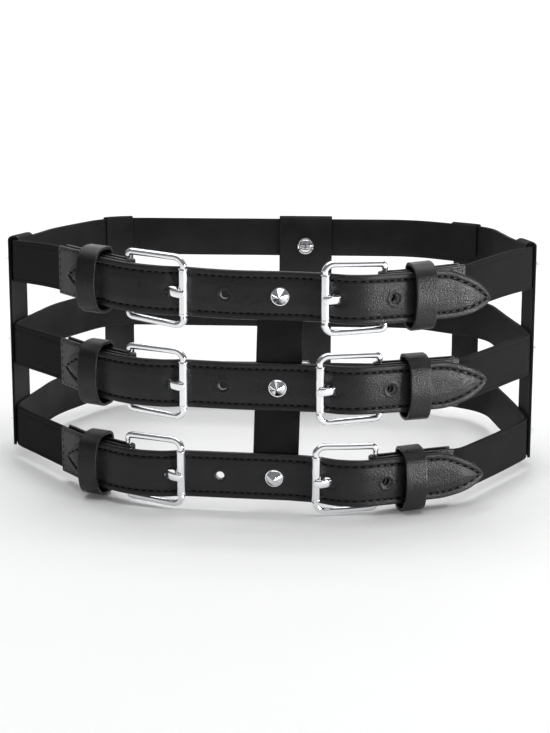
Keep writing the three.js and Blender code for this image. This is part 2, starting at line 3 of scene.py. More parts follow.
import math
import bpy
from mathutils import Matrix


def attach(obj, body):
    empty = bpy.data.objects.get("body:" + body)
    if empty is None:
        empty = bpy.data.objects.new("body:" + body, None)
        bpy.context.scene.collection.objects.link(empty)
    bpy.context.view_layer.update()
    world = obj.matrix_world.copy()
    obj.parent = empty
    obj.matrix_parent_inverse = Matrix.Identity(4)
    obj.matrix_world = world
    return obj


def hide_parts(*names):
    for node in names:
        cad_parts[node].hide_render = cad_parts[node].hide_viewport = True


bl_info = {
    "name": "Harness belt",
    "version": (1, 0, 0),
    "blender": (4, 5, 0),
    "location": "3D View > Sidebar > Harness belt",
    "description": "Builds a leather harness belt piece by piece over its packed frame",
    "category": "Mesh",
}

import bmesh
import bpy
import numpy as np
from mathutils import Matrix

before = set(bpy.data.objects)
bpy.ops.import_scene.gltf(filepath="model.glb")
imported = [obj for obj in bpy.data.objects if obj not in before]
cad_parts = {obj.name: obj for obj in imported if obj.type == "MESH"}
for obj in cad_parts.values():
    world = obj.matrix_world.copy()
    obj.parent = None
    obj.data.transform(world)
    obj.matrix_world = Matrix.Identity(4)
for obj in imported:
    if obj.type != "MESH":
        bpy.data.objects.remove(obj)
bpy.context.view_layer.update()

MILLIMETRE = 0.001

# The belt's outline seen from above, in millimetres: corners from the front round to the right, with radii
FRONT_LINE = 5.0
OUTLINE_CORNERS = [
    # place, x, y, radius
    ("right buckle", 40.0, FRONT_LINE, 30.0),
    ("right shoulder", 90.0, 25.5, 14.0),
    ("right side", 127.7, 86.0, 12.0),
    ("right back", 108.0, 170.0, 30.0),
    ("back, right end", 62.0, 196.0, 50.0),
    ("back, left end", -128.0, 184.0, 30.0),
    ("left back", -150.0, 133.0, 80.0),
    ("left side", -155.5, 74.0, 14.0),
    ("left loop", -102.0, 23.0, 30.0),
    ("left shoulder", -71.0, FRONT_LINE, 40.0),
]
# From the outline's own axes to the frame's, whose origin is under the middle of the belt
FRAME_SHIFT = np.array([14.804, -97.916, 0.634])

# Each belt's middle above the outline's base, and places along it from the middle of the front
ROWS = {
    "lower": {
        "height": 17.5, "stud": -0.5,
        "left_heel": -75.4, "right_heel": 49.2, "left_tip": -115.2, "right_tip": 102.6, "droop": 2.4,
    },
    "middle": {
        "height": 63.4, "stud": 1.2,
        "left_heel": -73.8, "right_heel": 50.8, "left_tip": -114.4, "right_tip": 103.1, "droop": 0.0,
    },
    "upper": {
        "height": 108.4, "stud": 2.4,
        "left_heel": -73.4, "right_heel": 52.9, "left_tip": -110.4, "right_tip": 104.1, "droop": 5.8,
    },
}
# How far the soft belts have settled up or down round a place of the outline
SETTLED = [
    # x, y, radius, lower, middle, upper
    (-108.0, 34.0, 100.0, 0.3, 2.3, 5.2),
    (46.0, 8.0, 44.0, -1.3, 0.0, -0.7),
    (112.0, 62.0, 75.0, -1.0, 0.4, 2.6),
]
# Between two belts the settling goes over from one's to the other's, this far clear of their middles
SETTLE_CLEAR = 18.4
# The upper belt is narrower from side to side than the lower one by this share
NARROWING = 0.012
# Leather bends this softly along the outline, which is kept as even samples
BEND_SOFTNESS = 2.2
OUTLINE_SAMPLES = 4096

# Gaps between pieces that touch, and over an edge that a strap folds round
GAP = 0.3
FOLD_GAP = 0.45
BASE = {"width": 22.6, "thickness": 2.0, "edge_radius": 0.55, "setback": 8.0}
CREASE = {"inset": 2.3, "width": 0.4, "depth": 0.28}
GROOVE = {"width": 0.62, "depth": 0.5}
CENTRE = {"width": 24.0, "thickness": 2.6, "tip": 24.0, "sharpness": 0.78}
# The stiff right ends spring off the base strap on the shoulder, and hang down past their keepers
SPRING = {"from": 94.0, "softness": 8.0, "slope": 0.4, "hangs_from": 74.0}
# The stitch line stops short of each point, and meets there in a sharper angle than the edge
STITCH_TIP = {"short": 2.3, "sharpness": 1.0}
STITCH_SUNK = 0.22
CLEAR_OF_ROLLER = 3.4
SPARE_HOLE_RADIUS = 2.1
PADDING = {"height": 0.35, "from": 0.4, "to": 5.0}
# The middle of the centre strap stands out this far over the chapes, and this far behind the rollers
OVER_CHAPE = 5.0
BEHIND_ROLLER = 2.35
DIP_FROM, DIP_TO = 17.5, 30.5
SPARE_HOLES = {"left": -27.0, "right": 53.5}
# The prong slots start further on at the face than behind, by a slant along the prong
PRONG_SLOT = {"from": 19.2, "to": 25.7, "height": 4.9, "slant": 0.5}
# Round the holes the face dips from a radius on, and then rises to a low lip
HOLE_DIP = {"depth": 0.3, "from": 1.9, "width": 0.6}
HOLE_LIP = {"height": 0.2, "radius": 3.3, "width": 0.7}
SLOT_DIP = {"depth": 0.35, "from": 2.2, "width": 1.2, "flat_less": 2.4}
# A chape's two layers close in on the base strap between two distances from the heel bar
CHAPE = {
    "width": 24.5, "thickness": 1.8, "edge_radius": 0.6, "slot": 5.2, "slot_front": 5.0, "slot_back": 4.6,
    "closes_from": 2.0, "closes_to": 7.0,
}
CHAPE_LENGTH = {"left": 48.6, "right": 40.0}
CHAPE_STITCH = {"from": 11.0, "inset": 1.4, "share_of_radius": 0.75, "sunk": 0.05}
KEEPER = {
    "width": 11.0, "thickness": 1.5, "edge_radius": 0.4, "height": 32.8, "drop": 0.7,
    "front_radius": 8.5, "crown_radius": 24.0, "back_radius": 4.0, "softness": 1.2,
}
# The left loops sit looser, and skew to the strap by a turn in degrees
KEEPER_SIDES = {
    "left": {"from_heel": 20.4, "inside": -4.6, "outside": 10.0, "crown": 13.0, "turn": 12.0},
    "right": {"from_heel": 17.6, "inside": -3.4, "outside": 9.4, "crown": 12.8, "turn": 0.0},
}
FRAME = {
    "height": 36.4, "rear_height": 35.0, "reach": 29.9, "arm": 3.2, "thickness": 3.0,
    "front_corner": 4.9, "rear_corner": 2.0, "swell": 0.55, "power": 2.6,
}
# The lower frames stand on the floor, and have slid up on their straps by this much
FRAME_LIFT = {"lower": 1.5, "middle": 0.2, "upper": 0.2}
# The bars turn round and thinner between these places along them
HEEL_BAR = {"radius": 1.3, "round_to": 12.6, "wide_from": 14.4}
FRONT_BAR = {"radius": 1.45, "round_to": 11.6, "wide_from": 13.3, "over_base": 6.4}
ROLLER = {"inner": 1.7, "outer": 2.25, "length": 22.6}
# A roller's collar and groove: out from its outer radius, and along from its end
ROLLER_END = np.array([
    [-0.18, 0.0], [-0.05, -0.06], [0.0, -0.2], [0.0, -0.95], [-0.03, -1.05],
    [-0.16, -1.12], [-0.16, -1.22], [-0.03, -1.3], [-0.02, -1.45],
])
PRONG_PATH = np.array([
    [3.2, -0.2], [10.0, -1.0], [15.5, -2.2], [18.6, -2.1], [20.9, -0.6],
    [22.9, 1.2], [25.6, 2.7], [29.9, 3.4], [32.1, 2.5],
])
PRONG = {
    "width": 4.1, "thickness": 1.5, "eye": 1.6, "wall": 1.4, "power": 3.0,
    "end": 2.0, "thins_over": 5.0, "thins_by": 0.3,
}
UPRIGHT = {"width": 22.5, "thickness": 1.6, "edge_radius": 0.5, "leaf": 18.0, "inset": 3.0}
BACK_UPRIGHT = {"width": 32.6, "thickness": 1.4, "leaf": 25.0}
UPRIGHTS = [
    # name, x, y, width, thickness at the fold, studs
    ("left_side", -154.0, 86.0, 26.0, 1.6, "left"),
    ("right_side", 127.2, 98.0, 22.5, 1.6, "right"),
    ("back_left", -121.0, 181.0, 18.0, 1.0, None),
    ("back_right", 92.5, 175.0, 18.0, 1.0, None),
]
BACK_PLACE = (-4.5, 192.0)
BACK_STUD_DROP = {"upper": -5.0, "middle": 0.0, "lower": 8.5}
STUD = {"radius": 4.5, "height": 4.8, "rim": 0.8, "shank": 1.5, "cap_radius": 5.2, "cap_height": 2.0}
# A stud's rim and its cap's rim: out from their radius, and up from the leather
STUD_RIM = np.array([[-0.15, 0.0], [0.0, 0.12], [0.0, 0.55], [-0.12, 0.75], [-0.38, 0.8], [-0.5, 0.82]])
CAP_RIM = np.array([[-1.1, 0.8], [-0.75, 0.95], [-0.3, 0.8], [0.0, 0.4], [0.0, 0.1], [-0.1, 0.0]])
CONE = {"inset": 0.55, "above_rim": 0.1, "blunt": 0.5, "point_radius": 0.2, "point_drop": 0.14}
DOME = {"inset": 1.2, "rise": 0.9}
ON_AXIS = 0.01

# Slow waves of a base strap's face: height, length / 2 pi, and phase for each mm of the belt's height
RIPPLES = [(0.07, 9.0, 1.0), (0.09, 23.0, 2.0)]
# What lies over a base strap starts here, and what lies behind a centre strap ends here
OVER_BASE = BASE["thickness"] / 2.0 + GAP
BEHIND_CENTRE = BEHIND_ROLLER - CENTRE["thickness"] / 2.0 - GAP

# Patterns of the materials: noise scales for each metre, depths in metres, and tints
LEATHER_PATTERN = {"cloud": 42.0, "creases": 110.0, "crease_depth": 0.0001, "fine": 2.4, "tint": 1.5}
THREAD_PATTERN = {"ribs": 900.0, "rib_depth": 0.0001, "mottle": 600.0, "tint": 1.8}
PLATING_PATTERN = {"cloud": 160.0, "waves": 420.0, "wave_depth": 0.0001, "tint": 0.9}
PAPER_PATTERN = {"mottle": 6.0, "tint": 0.985}

# Stage, in metres
FLOOR = {"front": -3.0, "bend": 1.2, "radius": 0.8, "top": 3.5, "half_width": 4.0}
LAMPS = [
    # name, location, target, size
    ("key", (1.273, -0.673, 0.09), (0.1, -0.05, 0.07), (0.6, 0.18)),
    ("backdrop", (0.0, 0.8, 2.2), (0.0, 2.0, 0.7), (3.0, 0.5)),
    ("top", (0.0, 0.3, 2.4), (0.0, 0.3001, 0.0), (3.0, 2.6)),
]
ROOM_COLOUR = (0.95, 0.97, 1.0, 1.0)
CAMERA_PLACE = (0.0887, -0.6994, 0.2276)
# Degrees below level, and round from the view along +Y
CAMERA_DOWN, CAMERA_TURN = 14.14, 7.0


# Outline and settling


def smooth_step(edge0, edge1, value):
    """0 before the first edge and 1 after the second, level at both: 3t^2 - 2t^3 of the share t between."""
    t = np.clip((value - edge0) / (edge1 - edge0), 0.0, 1.0)
    return t * t * (3.0 - 2.0 * t)


def trace_corners(corners, start, spacing=0.5):
    """Distance and x, y along a closed outline of straight runs joined by arcs.

    An arc of radius r that turns by an angle a starts r tan(a / 2) before its corner. Straight runs are start
    plus distance times direction, and arcs are hub plus r times (cos, sin) of the angle."""
    here = np.array(start, float)
    begun = 0.0
    distances, points = [], []
    ends = [np.array(corner, float) for corner in corners]
    for index, (x, y, radius) in enumerate(ends):
        corner = np.array([x, y])
        after = ends[index + 1][:2] if index + 1 < len(ends) else np.array(start, float)
        into = (corner - here) / np.linalg.norm(corner - here)
        out = (after - corner) / np.linalg.norm(after - corner)
        turn = math.atan2(into[0] * out[1] - into[1] * out[0], into @ out)
        entry = corner - into * radius * math.tan(abs(turn) / 2)
        length = np.linalg.norm(entry - here)
        share = np.linspace(0.0, 1.0, max(2, int(length / spacing)), endpoint=False)[:, None]
        points.append(here + (entry - here) * share)
        distances.append(begun + length * share[:, 0])
        begun += length
        side = math.copysign(1.0, turn)
        hub = entry + np.array([-into[1], into[0]]) * side * radius
        first = math.atan2(entry[1] - hub[1], entry[0] - hub[0])
        steps = max(3, int(radius * abs(turn) / spacing))
        angle = first + turn * np.linspace(0.0, 1.0, steps, endpoint=False)
        points.append(hub + radius * np.stack([np.cos(angle), np.sin(angle)], axis=1))
        distances.append(begun + radius * np.abs(angle - first))
        begun += radius * abs(turn)
        last = first + turn
        here = hub + radius * np.array([math.cos(last), math.sin(last)])
    length = np.linalg.norm(np.array(start) - here)
    share = np.linspace(0.0, 1.0, max(2, int(length / spacing)))[:, None]
    points.append(here + (np.array(start) - here) * share)
    distances.append(begun + length * share[:, 0])
    return np.concatenate(distances), np.concatenate(points)


def softened(distances, points, softness, count):
    """The closed outline at even distances, blurred by a bell curve of that width, as leather bends softly.

    The blur multiplies each wave of the outline by exp(-(wave number x width)^2 / 2)."""
    length = distances[-1]
    even = np.arange(count) * length / count
    x = np.interp(even, distances, points[:, 0])
    y = np.interp(even, distances, points[:, 1])
    waves = 2.0 * np.pi * np.fft.rfftfreq(count, length / count)
    fade = np.exp(-0.5 * (waves * softness) ** 2)
    x = np.fft.irfft(np.fft.rfft(x) * fade, count)
    y = np.fft.irfft(np.fft.rfft(y) * fade, count)
    return even, x, y


LOOP_DISTANCES, LOOP_POINTS = trace_corners([corner[1:] for corner in OUTLINE_CORNERS], (0.0, FRONT_LINE))
LOOP_LENGTH = LOOP_DISTANCES[-1]
LOOP_AT, LOOP_X, LOOP_Y = softened(LOOP_DISTANCES, LOOP_POINTS, BEND_SOFTNESS, OUTLINE_SAMPLES)
# Directions along the outline, each from the fourth samples before and after it
LOOP_TX = np.roll(LOOP_X, -4) - np.roll(LOOP_X, 4)
LOOP_TY = np.roll(LOOP_Y, -4) - np.roll(LOOP_Y, 4)


def along(distance):
    """x, y and unit direction of the outline at distances from the front's middle, read from even samples."""
    at = np.mod(distance, LOOP_LENGTH)
    samples = (LOOP_X, LOOP_Y, LOOP_TX, LOOP_TY)
    x, y, tx, ty = (np.interp(at, LOOP_AT, values, period=LOOP_LENGTH) for values in samples)
    size = np.hypot(tx, ty)
    return x, y, tx / size, ty / size


def settle(points):
    """Moves points up or down to where the belts have settled, narrows them upwards, and shifts them.

    Each patch lifts by its belt's amount times (1 - (r / radius)^2)^2 at a distance r from its middle."""
    x, y, z = points[..., 0], points[..., 1], points[..., 2]
    heights = [ROWS[name]["height"] for name in ("lower", "middle", "upper")]
    past_lower = smooth_step(heights[0] + SETTLE_CLEAR, heights[1] - SETTLE_CLEAR, z)
    past_middle = smooth_step(heights[1] + SETTLE_CLEAR, heights[2] - SETTLE_CLEAR, z)
    rise = np.zeros_like(z)
    for patch_x, patch_y, radius, lower, middle, upper in SETTLED:
        apart = np.hypot(x - patch_x, y - patch_y) / radius
        weight = np.maximum(1.0 - apart * apart, 0.0) ** 2
        low = lower + (middle - lower) * past_lower
        rise = rise + weight * (low + (upper - low) * past_middle)
    climb = (z - heights[0]) / (heights[2] - heights[0])
    return np.stack([x * (1.0 - NARROWING * climb), y, z + rise], axis=-1) + FRAME_SHIFT


def place(distance, out, height):
    """Points of the belt, settled: the outline at a distance, plus out along its normal, at a height."""
    distance, out, height = np.broadcast_arrays(distance, out, height)
    x, y, tx, ty = along(distance)
    return settle(np.stack([x + ty * out, y - tx * out, height], axis=-1))


def distance_near(x, y):
    """The distance along the outline of its sample nearest to a point."""
    return LOOP_AT[np.argmin(np.hypot(LOOP_X - x, LOOP_Y - y))]


# Skins


def skin(rings, closed=False):
    """Vertices and faces over rings of points: point j of ring i joins point j + 1 and ring i + 1.

    Rings are joined in a loop when closed, and capped otherwise. The faces are turned to point outwards,
    by the sign of the enclosed volume, the sum of a . (b x c) / 6 over the triangles."""
    count, sides = rings.shape[:2]
    vertices = rings.reshape(-1, 3)
    index = np.arange(count * sides).reshape(count, sides)
    beside = np.roll(index, -1, axis=1)
    if closed:
        quads = np.stack([index, beside, np.roll(beside, -1, axis=0), np.roll(index, -1, axis=0)], axis=-1)
    else:
        quads = np.stack([index[:-1], beside[:-1], beside[1:], index[1:]], axis=-1)
    quads = quads.reshape(-1, 4)
    caps = [] if closed else [index[0][::-1], index[-1]]
    a, b, c, d = (vertices[quads[:, k]] for k in range(4))
    volume = np.einsum("ij,ij->i", a, np.cross(b, c)).sum() + np.einsum("ij,ij->i", a, np.cross(c, d)).sum()
    for cap in caps:
        first, second, third = vertices[cap[0]], vertices[cap[1:-1]], vertices[cap[2:]]
        volume += (np.cross(second, third) @ first).sum()
    if volume < 0.0:
        quads = quads[:, ::-1]
        caps = [cap[::-1] for cap in caps]
    return vertices, quads.tolist() + [cap.tolist() for cap in caps]


def joined(parts):
    """Several shapes as one list of vertices and faces."""
    vertices, faces, start = [], [], 0
    for part_vertices, part_faces in parts:
        vertices.append(part_vertices)
        faces.extend([[corner + start for corner in face] for face in part_faces])
        start += len(part_vertices)
    return np.concatenate(vertices), faces


def strap_section(half_thickness, half_width, radius, corner_steps=4, face_steps=9):
    """Closed section of a strap as out and across: a rectangle with corners rounded by arcs of a radius."""
    radius = min(radius, half_thickness * 0.999)
    quarter = np.linspace(0.0, np.pi / 2.0, corner_steps + 1)
    flat = np.linspace(-1.0, 1.0, face_steps + 2)[1:-1] * (half_width - radius)
    inner_out, inner_across = half_thickness - radius, half_width - radius
    out = np.concatenate([
        np.full(face_steps, half_thickness),
        inner_out + radius * np.cos(quarter),
        -inner_out - radius * np.sin(quarter),
        np.full(face_steps, -half_thickness),
        -inner_out - radius * np.cos(quarter),
        inner_out + radius * np.sin(quarter),
    ])
    across = np.concatenate([
        flat,
        inner_across + radius * np.sin(quarter),
        inner_across + radius * np.cos(quarter),
        flat[::-1],
        -inner_across - radius * np.sin(quarter),
        -inner_across - radius * np.cos(quarter),
    ])
    return out, across


def sweep(path, normal, side, out, across):
    """Rings of a section carried along a path: path + normal x out + side x across."""
    return path[:, None] + normal[:, None] * out[None, :, None] + side[:, None] * across[None, :, None]


def path_normals(path, closed=False):
    """Unit directions of a flat path from its neighbours on both sides, and the same turned by a quarter."""
    if closed:
        step = np.roll(path, -1, axis=0) - np.roll(path, 1, axis=0)
    else:
        step = np.gradient(path, axis=0)
    step = step / np.linalg.norm(step, axis=1)[:, None]
    return step, np.stack([step[:, 1], -step[:, 0]], axis=1)


def full_turn(count):
    """Even angles once round."""
    return np.linspace(0.0, 2.0 * np.pi, count, endpoint=False)


def superellipse(count, power):
    """Points of |x|^p + |y|^p = 1: x and y are cos and sin, each raised to 2 / p with its sign kept."""
    angle = full_turn(count)
    cos, sin = np.cos(angle), np.sin(angle)
    return np.sign(cos) * np.abs(cos) ** (2.0 / power), np.sign(sin) * np.abs(sin) ** (2.0 / power)


def lathe(profile, axis_matrix, sides=48):
    """A profile of (radius, height) pairs turned round a matrix's own Y axis."""
    angle = full_turn(sides)
    radius, height = profile[:, 0][:, None], profile[:, 1][:, None]
    local = np.stack([radius * np.cos(angle), height + 0.0 * angle, radius * np.sin(angle)], axis=-1)
    return local @ axis_matrix[:3, :3].T + axis_matrix[:3, 3]


def smooth_curve(points, count):
    """Points of a smooth curve through given points: cubic between them, with slopes from both neighbours."""
    slopes = np.gradient(points, axis=0)
    at = np.linspace(0.0, len(points) - 1.0, count)
    index = np.minimum(at.astype(int), len(points) - 2)
    t = (at - index)[:, None]
    start, end = points[index], points[index + 1]
    leave, arrive = slopes[index], slopes[index + 1]
    return (
        (2 * t**3 - 3 * t**2 + 1) * start + (t**3 - 2 * t**2 + t) * leave
        + (-2 * t**3 + 3 * t**2) * end + (t**3 - t**2) * arrive
    )


# Pieces


def add_object(name, data):
    """A new object with that data, in the scene."""
    made = bpy.data.objects.new(name, data)
    bpy.context.scene.collection.objects.link(made)
    return made


def new_mesh(name, shape):
    """A mesh in metres from a shape's vertices and faces in millimetres."""
    vertices, faces = shape
    mesh = bpy.data.meshes.new(name)
    mesh.from_pydata((vertices * MILLIMETRE).tolist(), [], faces)
    return mesh


def make_piece(node, slot, shape, material, sharp_angle=40.0):
    """A piece that stands for its node, smooth but at edges sharper than an angle in degrees."""
    name = f"{node}_metal" if slot == "chrome" else f"{node}_leather"
    mesh = new_mesh(name, shape)
    mesh.polygons.foreach_set("use_smooth", np.ones(len(mesh.polygons), bool))
    mesh.set_sharp_from_angle(angle=math.radians(sharp_angle))
    mesh.materials.append(material)
    piece = add_object(name, mesh)
    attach(piece, "root")
    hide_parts(node)
    return piece


def paint_inner_faces(piece, material):
    """Gives the faces that look within 60 degrees of the belt's middle, seen from above, a material: here a
    lighter copy of the leather, as painted light on the inner faces.
    """
    mesh = piece.data
    count = len(mesh.polygons)
    centres, normals = np.empty(3 * count), np.empty(3 * count)
    mesh.polygons.foreach_get("center", centres)
    mesh.polygons.foreach_get("normal", normals)
    centres, normals = centres.reshape(-1, 3)[:, :2], normals.reshape(-1, 3)[:, :2]
    inward = (centres * normals).sum(axis=1) < -0.5 * np.linalg.norm(centres, axis=1)
    mesh.materials.append(material)
    mesh.polygons.foreach_set("material_index", inward.astype(np.int32))


def cut(piece, cutters, wall=None):
    """Takes the cutters' shapes out of a piece, exactly, and keeps the result as the piece's own mesh.

    The walls of the holes get a material of their own where one is given."""
    tools = []
    for cutter in cutters:
        mesh = new_mesh("cutter", cutter)
        tool = add_object("cutter", mesh)
        modifier = piece.modifiers.new("hole", "BOOLEAN")
        modifier.object = tool
        modifier.solver = "EXACT"
        if wall:
            mesh.materials.append(wall)
            modifier.material_mode = "TRANSFER"
        tools.append(tool)
    graph = bpy.context.evaluated_depsgraph_get()
    carved = bpy.data.meshes.new_from_object(piece.evaluated_get(graph))
    if len(carved.polygons) == 0:
        raise RuntimeError(f"cutting {piece.name} left nothing")
    piece.modifiers.clear()
    piece.data = carved
    for tool in tools:
        bpy.data.objects.remove(tool)


def add_shape(piece, shape, material):
    """Adds a shape to a piece's mesh with a material of its own."""
    extra = new_mesh("extra", shape)
    work = bmesh.new()
    work.from_mesh(piece.data)
    before = len(work.faces)
    work.from_mesh(extra)
    work.faces.ensure_lookup_table()
    index = len(piece.data.materials)
    for face in work.faces[before:]:
        face.material_index = index
        face.smooth = True
    work.to_mesh(piece.data)
    work.free()
    piece.data.materials.append(material)
    bpy.data.meshes.remove(extra)


def hole_cutter(distance, height, radius, flat=0.0, slant=0.0, sides=40, depth=9.0):
    """A cutter through a strap: a circle, drawn apart by a flat length, from -depth to +depth.

    It leans along the belt by the slant for each millimetre outwards of the strap's middle."""
    angle = full_turn(sides)
    u = radius * np.cos(angle) + np.sign(np.cos(angle)) * flat / 2.0
    v = radius * np.sin(angle)
    out = np.array([-depth, depth])[:, None]
    lean = slant * (out - BEHIND_ROLLER - CENTRE["thickness"] / 2.0)
    return skin(place(distance + lean + u[None, :], out, height + v[None, :]))


def stitches(centres, directions, surface, settings, share=1.0):
    """Thread segments as one shape: capsules at (distance, height) centres that lie along their directions.

    A capsule's ring at u has radius r sqrt(1 - u^2), and its ends dip into the leather with u^4. surface
    gives the outward offset of the leather at a distance and a height. share makes the thread finer."""
    length = settings.stitch_length / MILLIMETRE
    radius = share * settings.thread_radius / MILLIMETRE
    rings, sides = 7, 8
    u = np.linspace(-0.98, 0.98, rings)
    angle = full_turn(sides)
    thick = radius * np.sqrt(1.0 - u**2)[:, None]
    lateral = thick * np.cos(angle)
    lift = thick * np.sin(angle) - STITCH_SUNK * (u**4)[:, None]
    run = (u * length / 2.0)[:, None] + 0.0 * angle
    cos, sin = directions[:, 0, None, None], directions[:, 1, None, None]
    s = centres[:, 0, None, None] + run * cos - lateral * sin
    z = centres[:, 1, None, None] + run * sin + lateral * cos
    points = place(s, surface(s, z) + lift, z)
    one = skin(points[0])[1]
    count = rings * sides
    faces = [[corner + k * count for corner in face] for k in range(len(centres)) for face in one]
    return points.reshape(-1, 3), faces


def spaced(curve, pitch):
    """Places and unit directions along a curve at an even pitch, kept half a pitch clear of both ends.

    A direction is that from the curve's point 0.2 mm behind a place to its point 0.2 mm ahead."""
    step = np.linalg.norm(np.diff(curve, axis=0), axis=1)
    run = np.concatenate([[0.0], np.cumsum(step)])
    count = max(int(run[-1] / pitch), 1)
    at = (np.arange(count) + 0.5) * run[-1] / count
    centres, ahead, behind = (
        np.stack([np.interp(at + shift, run, curve[:, k]) for k in range(2)], axis=1)
        for shift in (0.0, 0.2, -0.2)
    )
    direction = ahead - behind
    return centres, direction / np.linalg.norm(direction, axis=1)[:, None]


# Materials


class Nodes:
    """A material's node tree, with one short call for each node and link."""

    def __init__(self, name):
        self.material = bpy.data.materials.new(name)
        self.material.use_nodes = True
        self.tree = self.material.node_tree
        self.shader = self.tree.nodes["Principled BSDF"]
        self.coordinates = self.tree.nodes.new("ShaderNodeTexCoord").outputs["Object"]

    def node(self, kind, inputs=None, **settings):
        """A node with its settings, and its inputs as values or as links."""
        made = self.tree.nodes.new(kind)
        for key, value in settings.items():
            setattr(made, key, value)
        for key, value in (inputs or {}).items():
            if isinstance(value, bpy.types.NodeSocket):
                self.tree.links.new(value, made.inputs[key])
            else:
                made.inputs[key].default_value = value
        return made

    def noise(self, scale, detail=2.0, roughness=0.5):
        """Noise at so many waves for each metre."""
        inputs = {"Vector": self.coordinates, "Scale": scale, "Detail": detail, "Roughness": roughness}
        return self.node("ShaderNodeTexNoise", inputs).outputs["Fac"]

    def ranged(self, value, low, high, to_low, to_high):
        """A value taken evenly from one range to another, and held at its ends."""
        inputs = {"Value": value, "From Min": low, "From Max": high, "To Min": to_low, "To Max": to_high}
        return self.node("ShaderNodeMapRange", inputs).outputs["Result"]

    def math(self, operation, a, b):
        """Two values added or multiplied."""
        return self.node("ShaderNodeMath", {0: a, 1: b}, operation=operation).outputs["Value"]

    def clouded(self, factor, colour, tint):
        """A colour that goes over to itself times a tint, by a factor."""
        mixed = self.node("ShaderNodeMix", {"Factor": factor}, data_type="RGBA")
        mixed.inputs["A"].default_value = (*colour, 1.0)
        mixed.inputs["B"].default_value = (*(channel * tint for channel in colour), 1.0)
        return mixed.outputs["Result"]

    def bump(self, height, distance, strength=1.0, under=None):
        """Relief of a height times a distance, on top of the relief under it."""
        inputs = {"Strength": strength, "Distance": distance, "Height": height}
        if under:
            inputs["Normal"] = under
        return self.node("ShaderNodeBump", inputs).outputs["Normal"]

    def feed(self, socket, value):
        """Sets a socket of the shader to a value, or links it."""
        if isinstance(value, bpy.types.NodeSocket):
            self.tree.links.new(value, self.shader.inputs[socket])
        else:
            self.shader.inputs[socket].default_value = value


def leather_material(name, colour, roughness, gloss, grain, depth):
    """Imitation leather: pebbled cells, fine noise and soft creases as bump, and a cloudy colour."""
    nodes = Nodes(name)
    cells = nodes.node("ShaderNodeTexVoronoi", {"Vector": nodes.coordinates, "Scale": 1.0 / grain})
    pebbles = nodes.ranged(cells.outputs["Distance"], 0.0, 0.9, 1.0, 0.0)
    fine = nodes.noise(LEATHER_PATTERN["fine"] / grain, detail=3.0, roughness=0.6)
    cloud = nodes.noise(LEATHER_PATTERN["cloud"], detail=4.0, roughness=0.6)
    height = nodes.math("ADD", pebbles, nodes.math("MULTIPLY", fine, 0.3))
    soft = nodes.bump(nodes.noise(LEATHER_PATTERN["creases"]), LEATHER_PATTERN["crease_depth"])
    nodes.feed("Normal", nodes.bump(height, depth, under=soft))
    clouds = nodes.ranged(cloud, 0.35, 0.7, 0.0, 1.0)
    nodes.feed("Base Color", nodes.clouded(clouds, colour, LEATHER_PATTERN["tint"]))
    nodes.feed("Roughness", nodes.ranged(cloud, 0.3, 0.7, roughness - 0.05, roughness + 0.07))
    nodes.feed("Specular IOR Level", gloss)
    return nodes.material


def thread_material(name, colour):
    """Twisted thread: slanted fine ribs as bump on a matt dark colour."""
    nodes = Nodes(name)
    inputs = {"Vector": nodes.coordinates, "Scale": THREAD_PATTERN["ribs"], "Distortion": 1.0}
    ribs = nodes.node("ShaderNodeTexWave", inputs).outputs["Fac"]
    nodes.feed("Normal", nodes.bump(ribs, THREAD_PATTERN["rib_depth"], strength=0.6))
    mottle = nodes.noise(THREAD_PATTERN["mottle"])
    nodes.feed("Base Color", nodes.clouded(mottle, colour, THREAD_PATTERN["tint"]))
    nodes.feed("Roughness", 0.9)
    nodes.feed("Specular IOR Level", 0.05)
    return nodes.material


def chrome_material(name, colour, roughness):
    """Polished plating: near mirror, with faint clouds of dullness and fine unevenness."""
    nodes = Nodes(name)
    cloud = nodes.noise(PLATING_PATTERN["cloud"], detail=5.0, roughness=0.65)
    waves = nodes.noise(PLATING_PATTERN["waves"])
    nodes.feed("Normal", nodes.bump(waves, PLATING_PATTERN["wave_depth"], strength=0.15))
    nodes.feed("Base Color", nodes.clouded(cloud, colour, PLATING_PATTERN["tint"]))
    nodes.feed("Metallic", 1.0)
    nodes.feed("Roughness", nodes.ranged(cloud, 0.3, 0.7, roughness * 0.7, roughness * 1.5))
    return nodes.material


def floor_material(name, colour):
    """Smooth pale paper with a faint mottle."""
    nodes = Nodes(name)
    mottle = nodes.noise(PAPER_PATTERN["mottle"], detail=3.0)
    nodes.feed("Base Color", nodes.clouded(mottle, colour, PAPER_PATTERN["tint"]))
    nodes.feed("Roughness", 0.85)
    return nodes.material


def finish(context, kind):
    """The material of that kind, made once from the settings."""
    found = bpy.data.materials.get(kind)
    if found:
        return found
    leather, metal, stage = context.scene.belt_leather, context.scene.belt_metal, context.scene.belt_stage
    leathers = {
        # colour, roughness, gloss, and the grain's size and depth as shares of the setting
        "smooth_leather": (leather.plain_colour, leather.plain_roughness, leather.plain_gloss, 0.8, 0.5),
        # Inner faces: a lighter copy of the plain leather, painted light standing in for light on the inner
        # faces
        "inner_painted_light": (leather.inner_painted_light_colour, leather.plain_roughness, leather.plain_gloss, 0.6, 0.3),
        # Hole walls: the light cut edge of the leather, which also paints the bright highlight ring at the
        # holes
        "cut_edge_and_highlight": (leather.cut_edge_and_highlight_colour, leather.plain_roughness, leather.grain_gloss, 0.6, 0.3),
        "grained_leather": (leather.grain_colour, leather.grain_roughness, leather.grain_gloss, 1.0, 1.0),
    }
    if kind in leathers:
        *look, size, depth = leathers[kind]
        return leather_material(kind, *look, leather.grain * size, leather.grain_depth * depth)
    if kind == "thread":
        return thread_material(kind, leather.thread_colour)
    if kind == "plating":
        return chrome_material(kind, metal.colour, metal.roughness)
    return floor_material(kind, stage.floor_colour)


# Shapes of the pieces


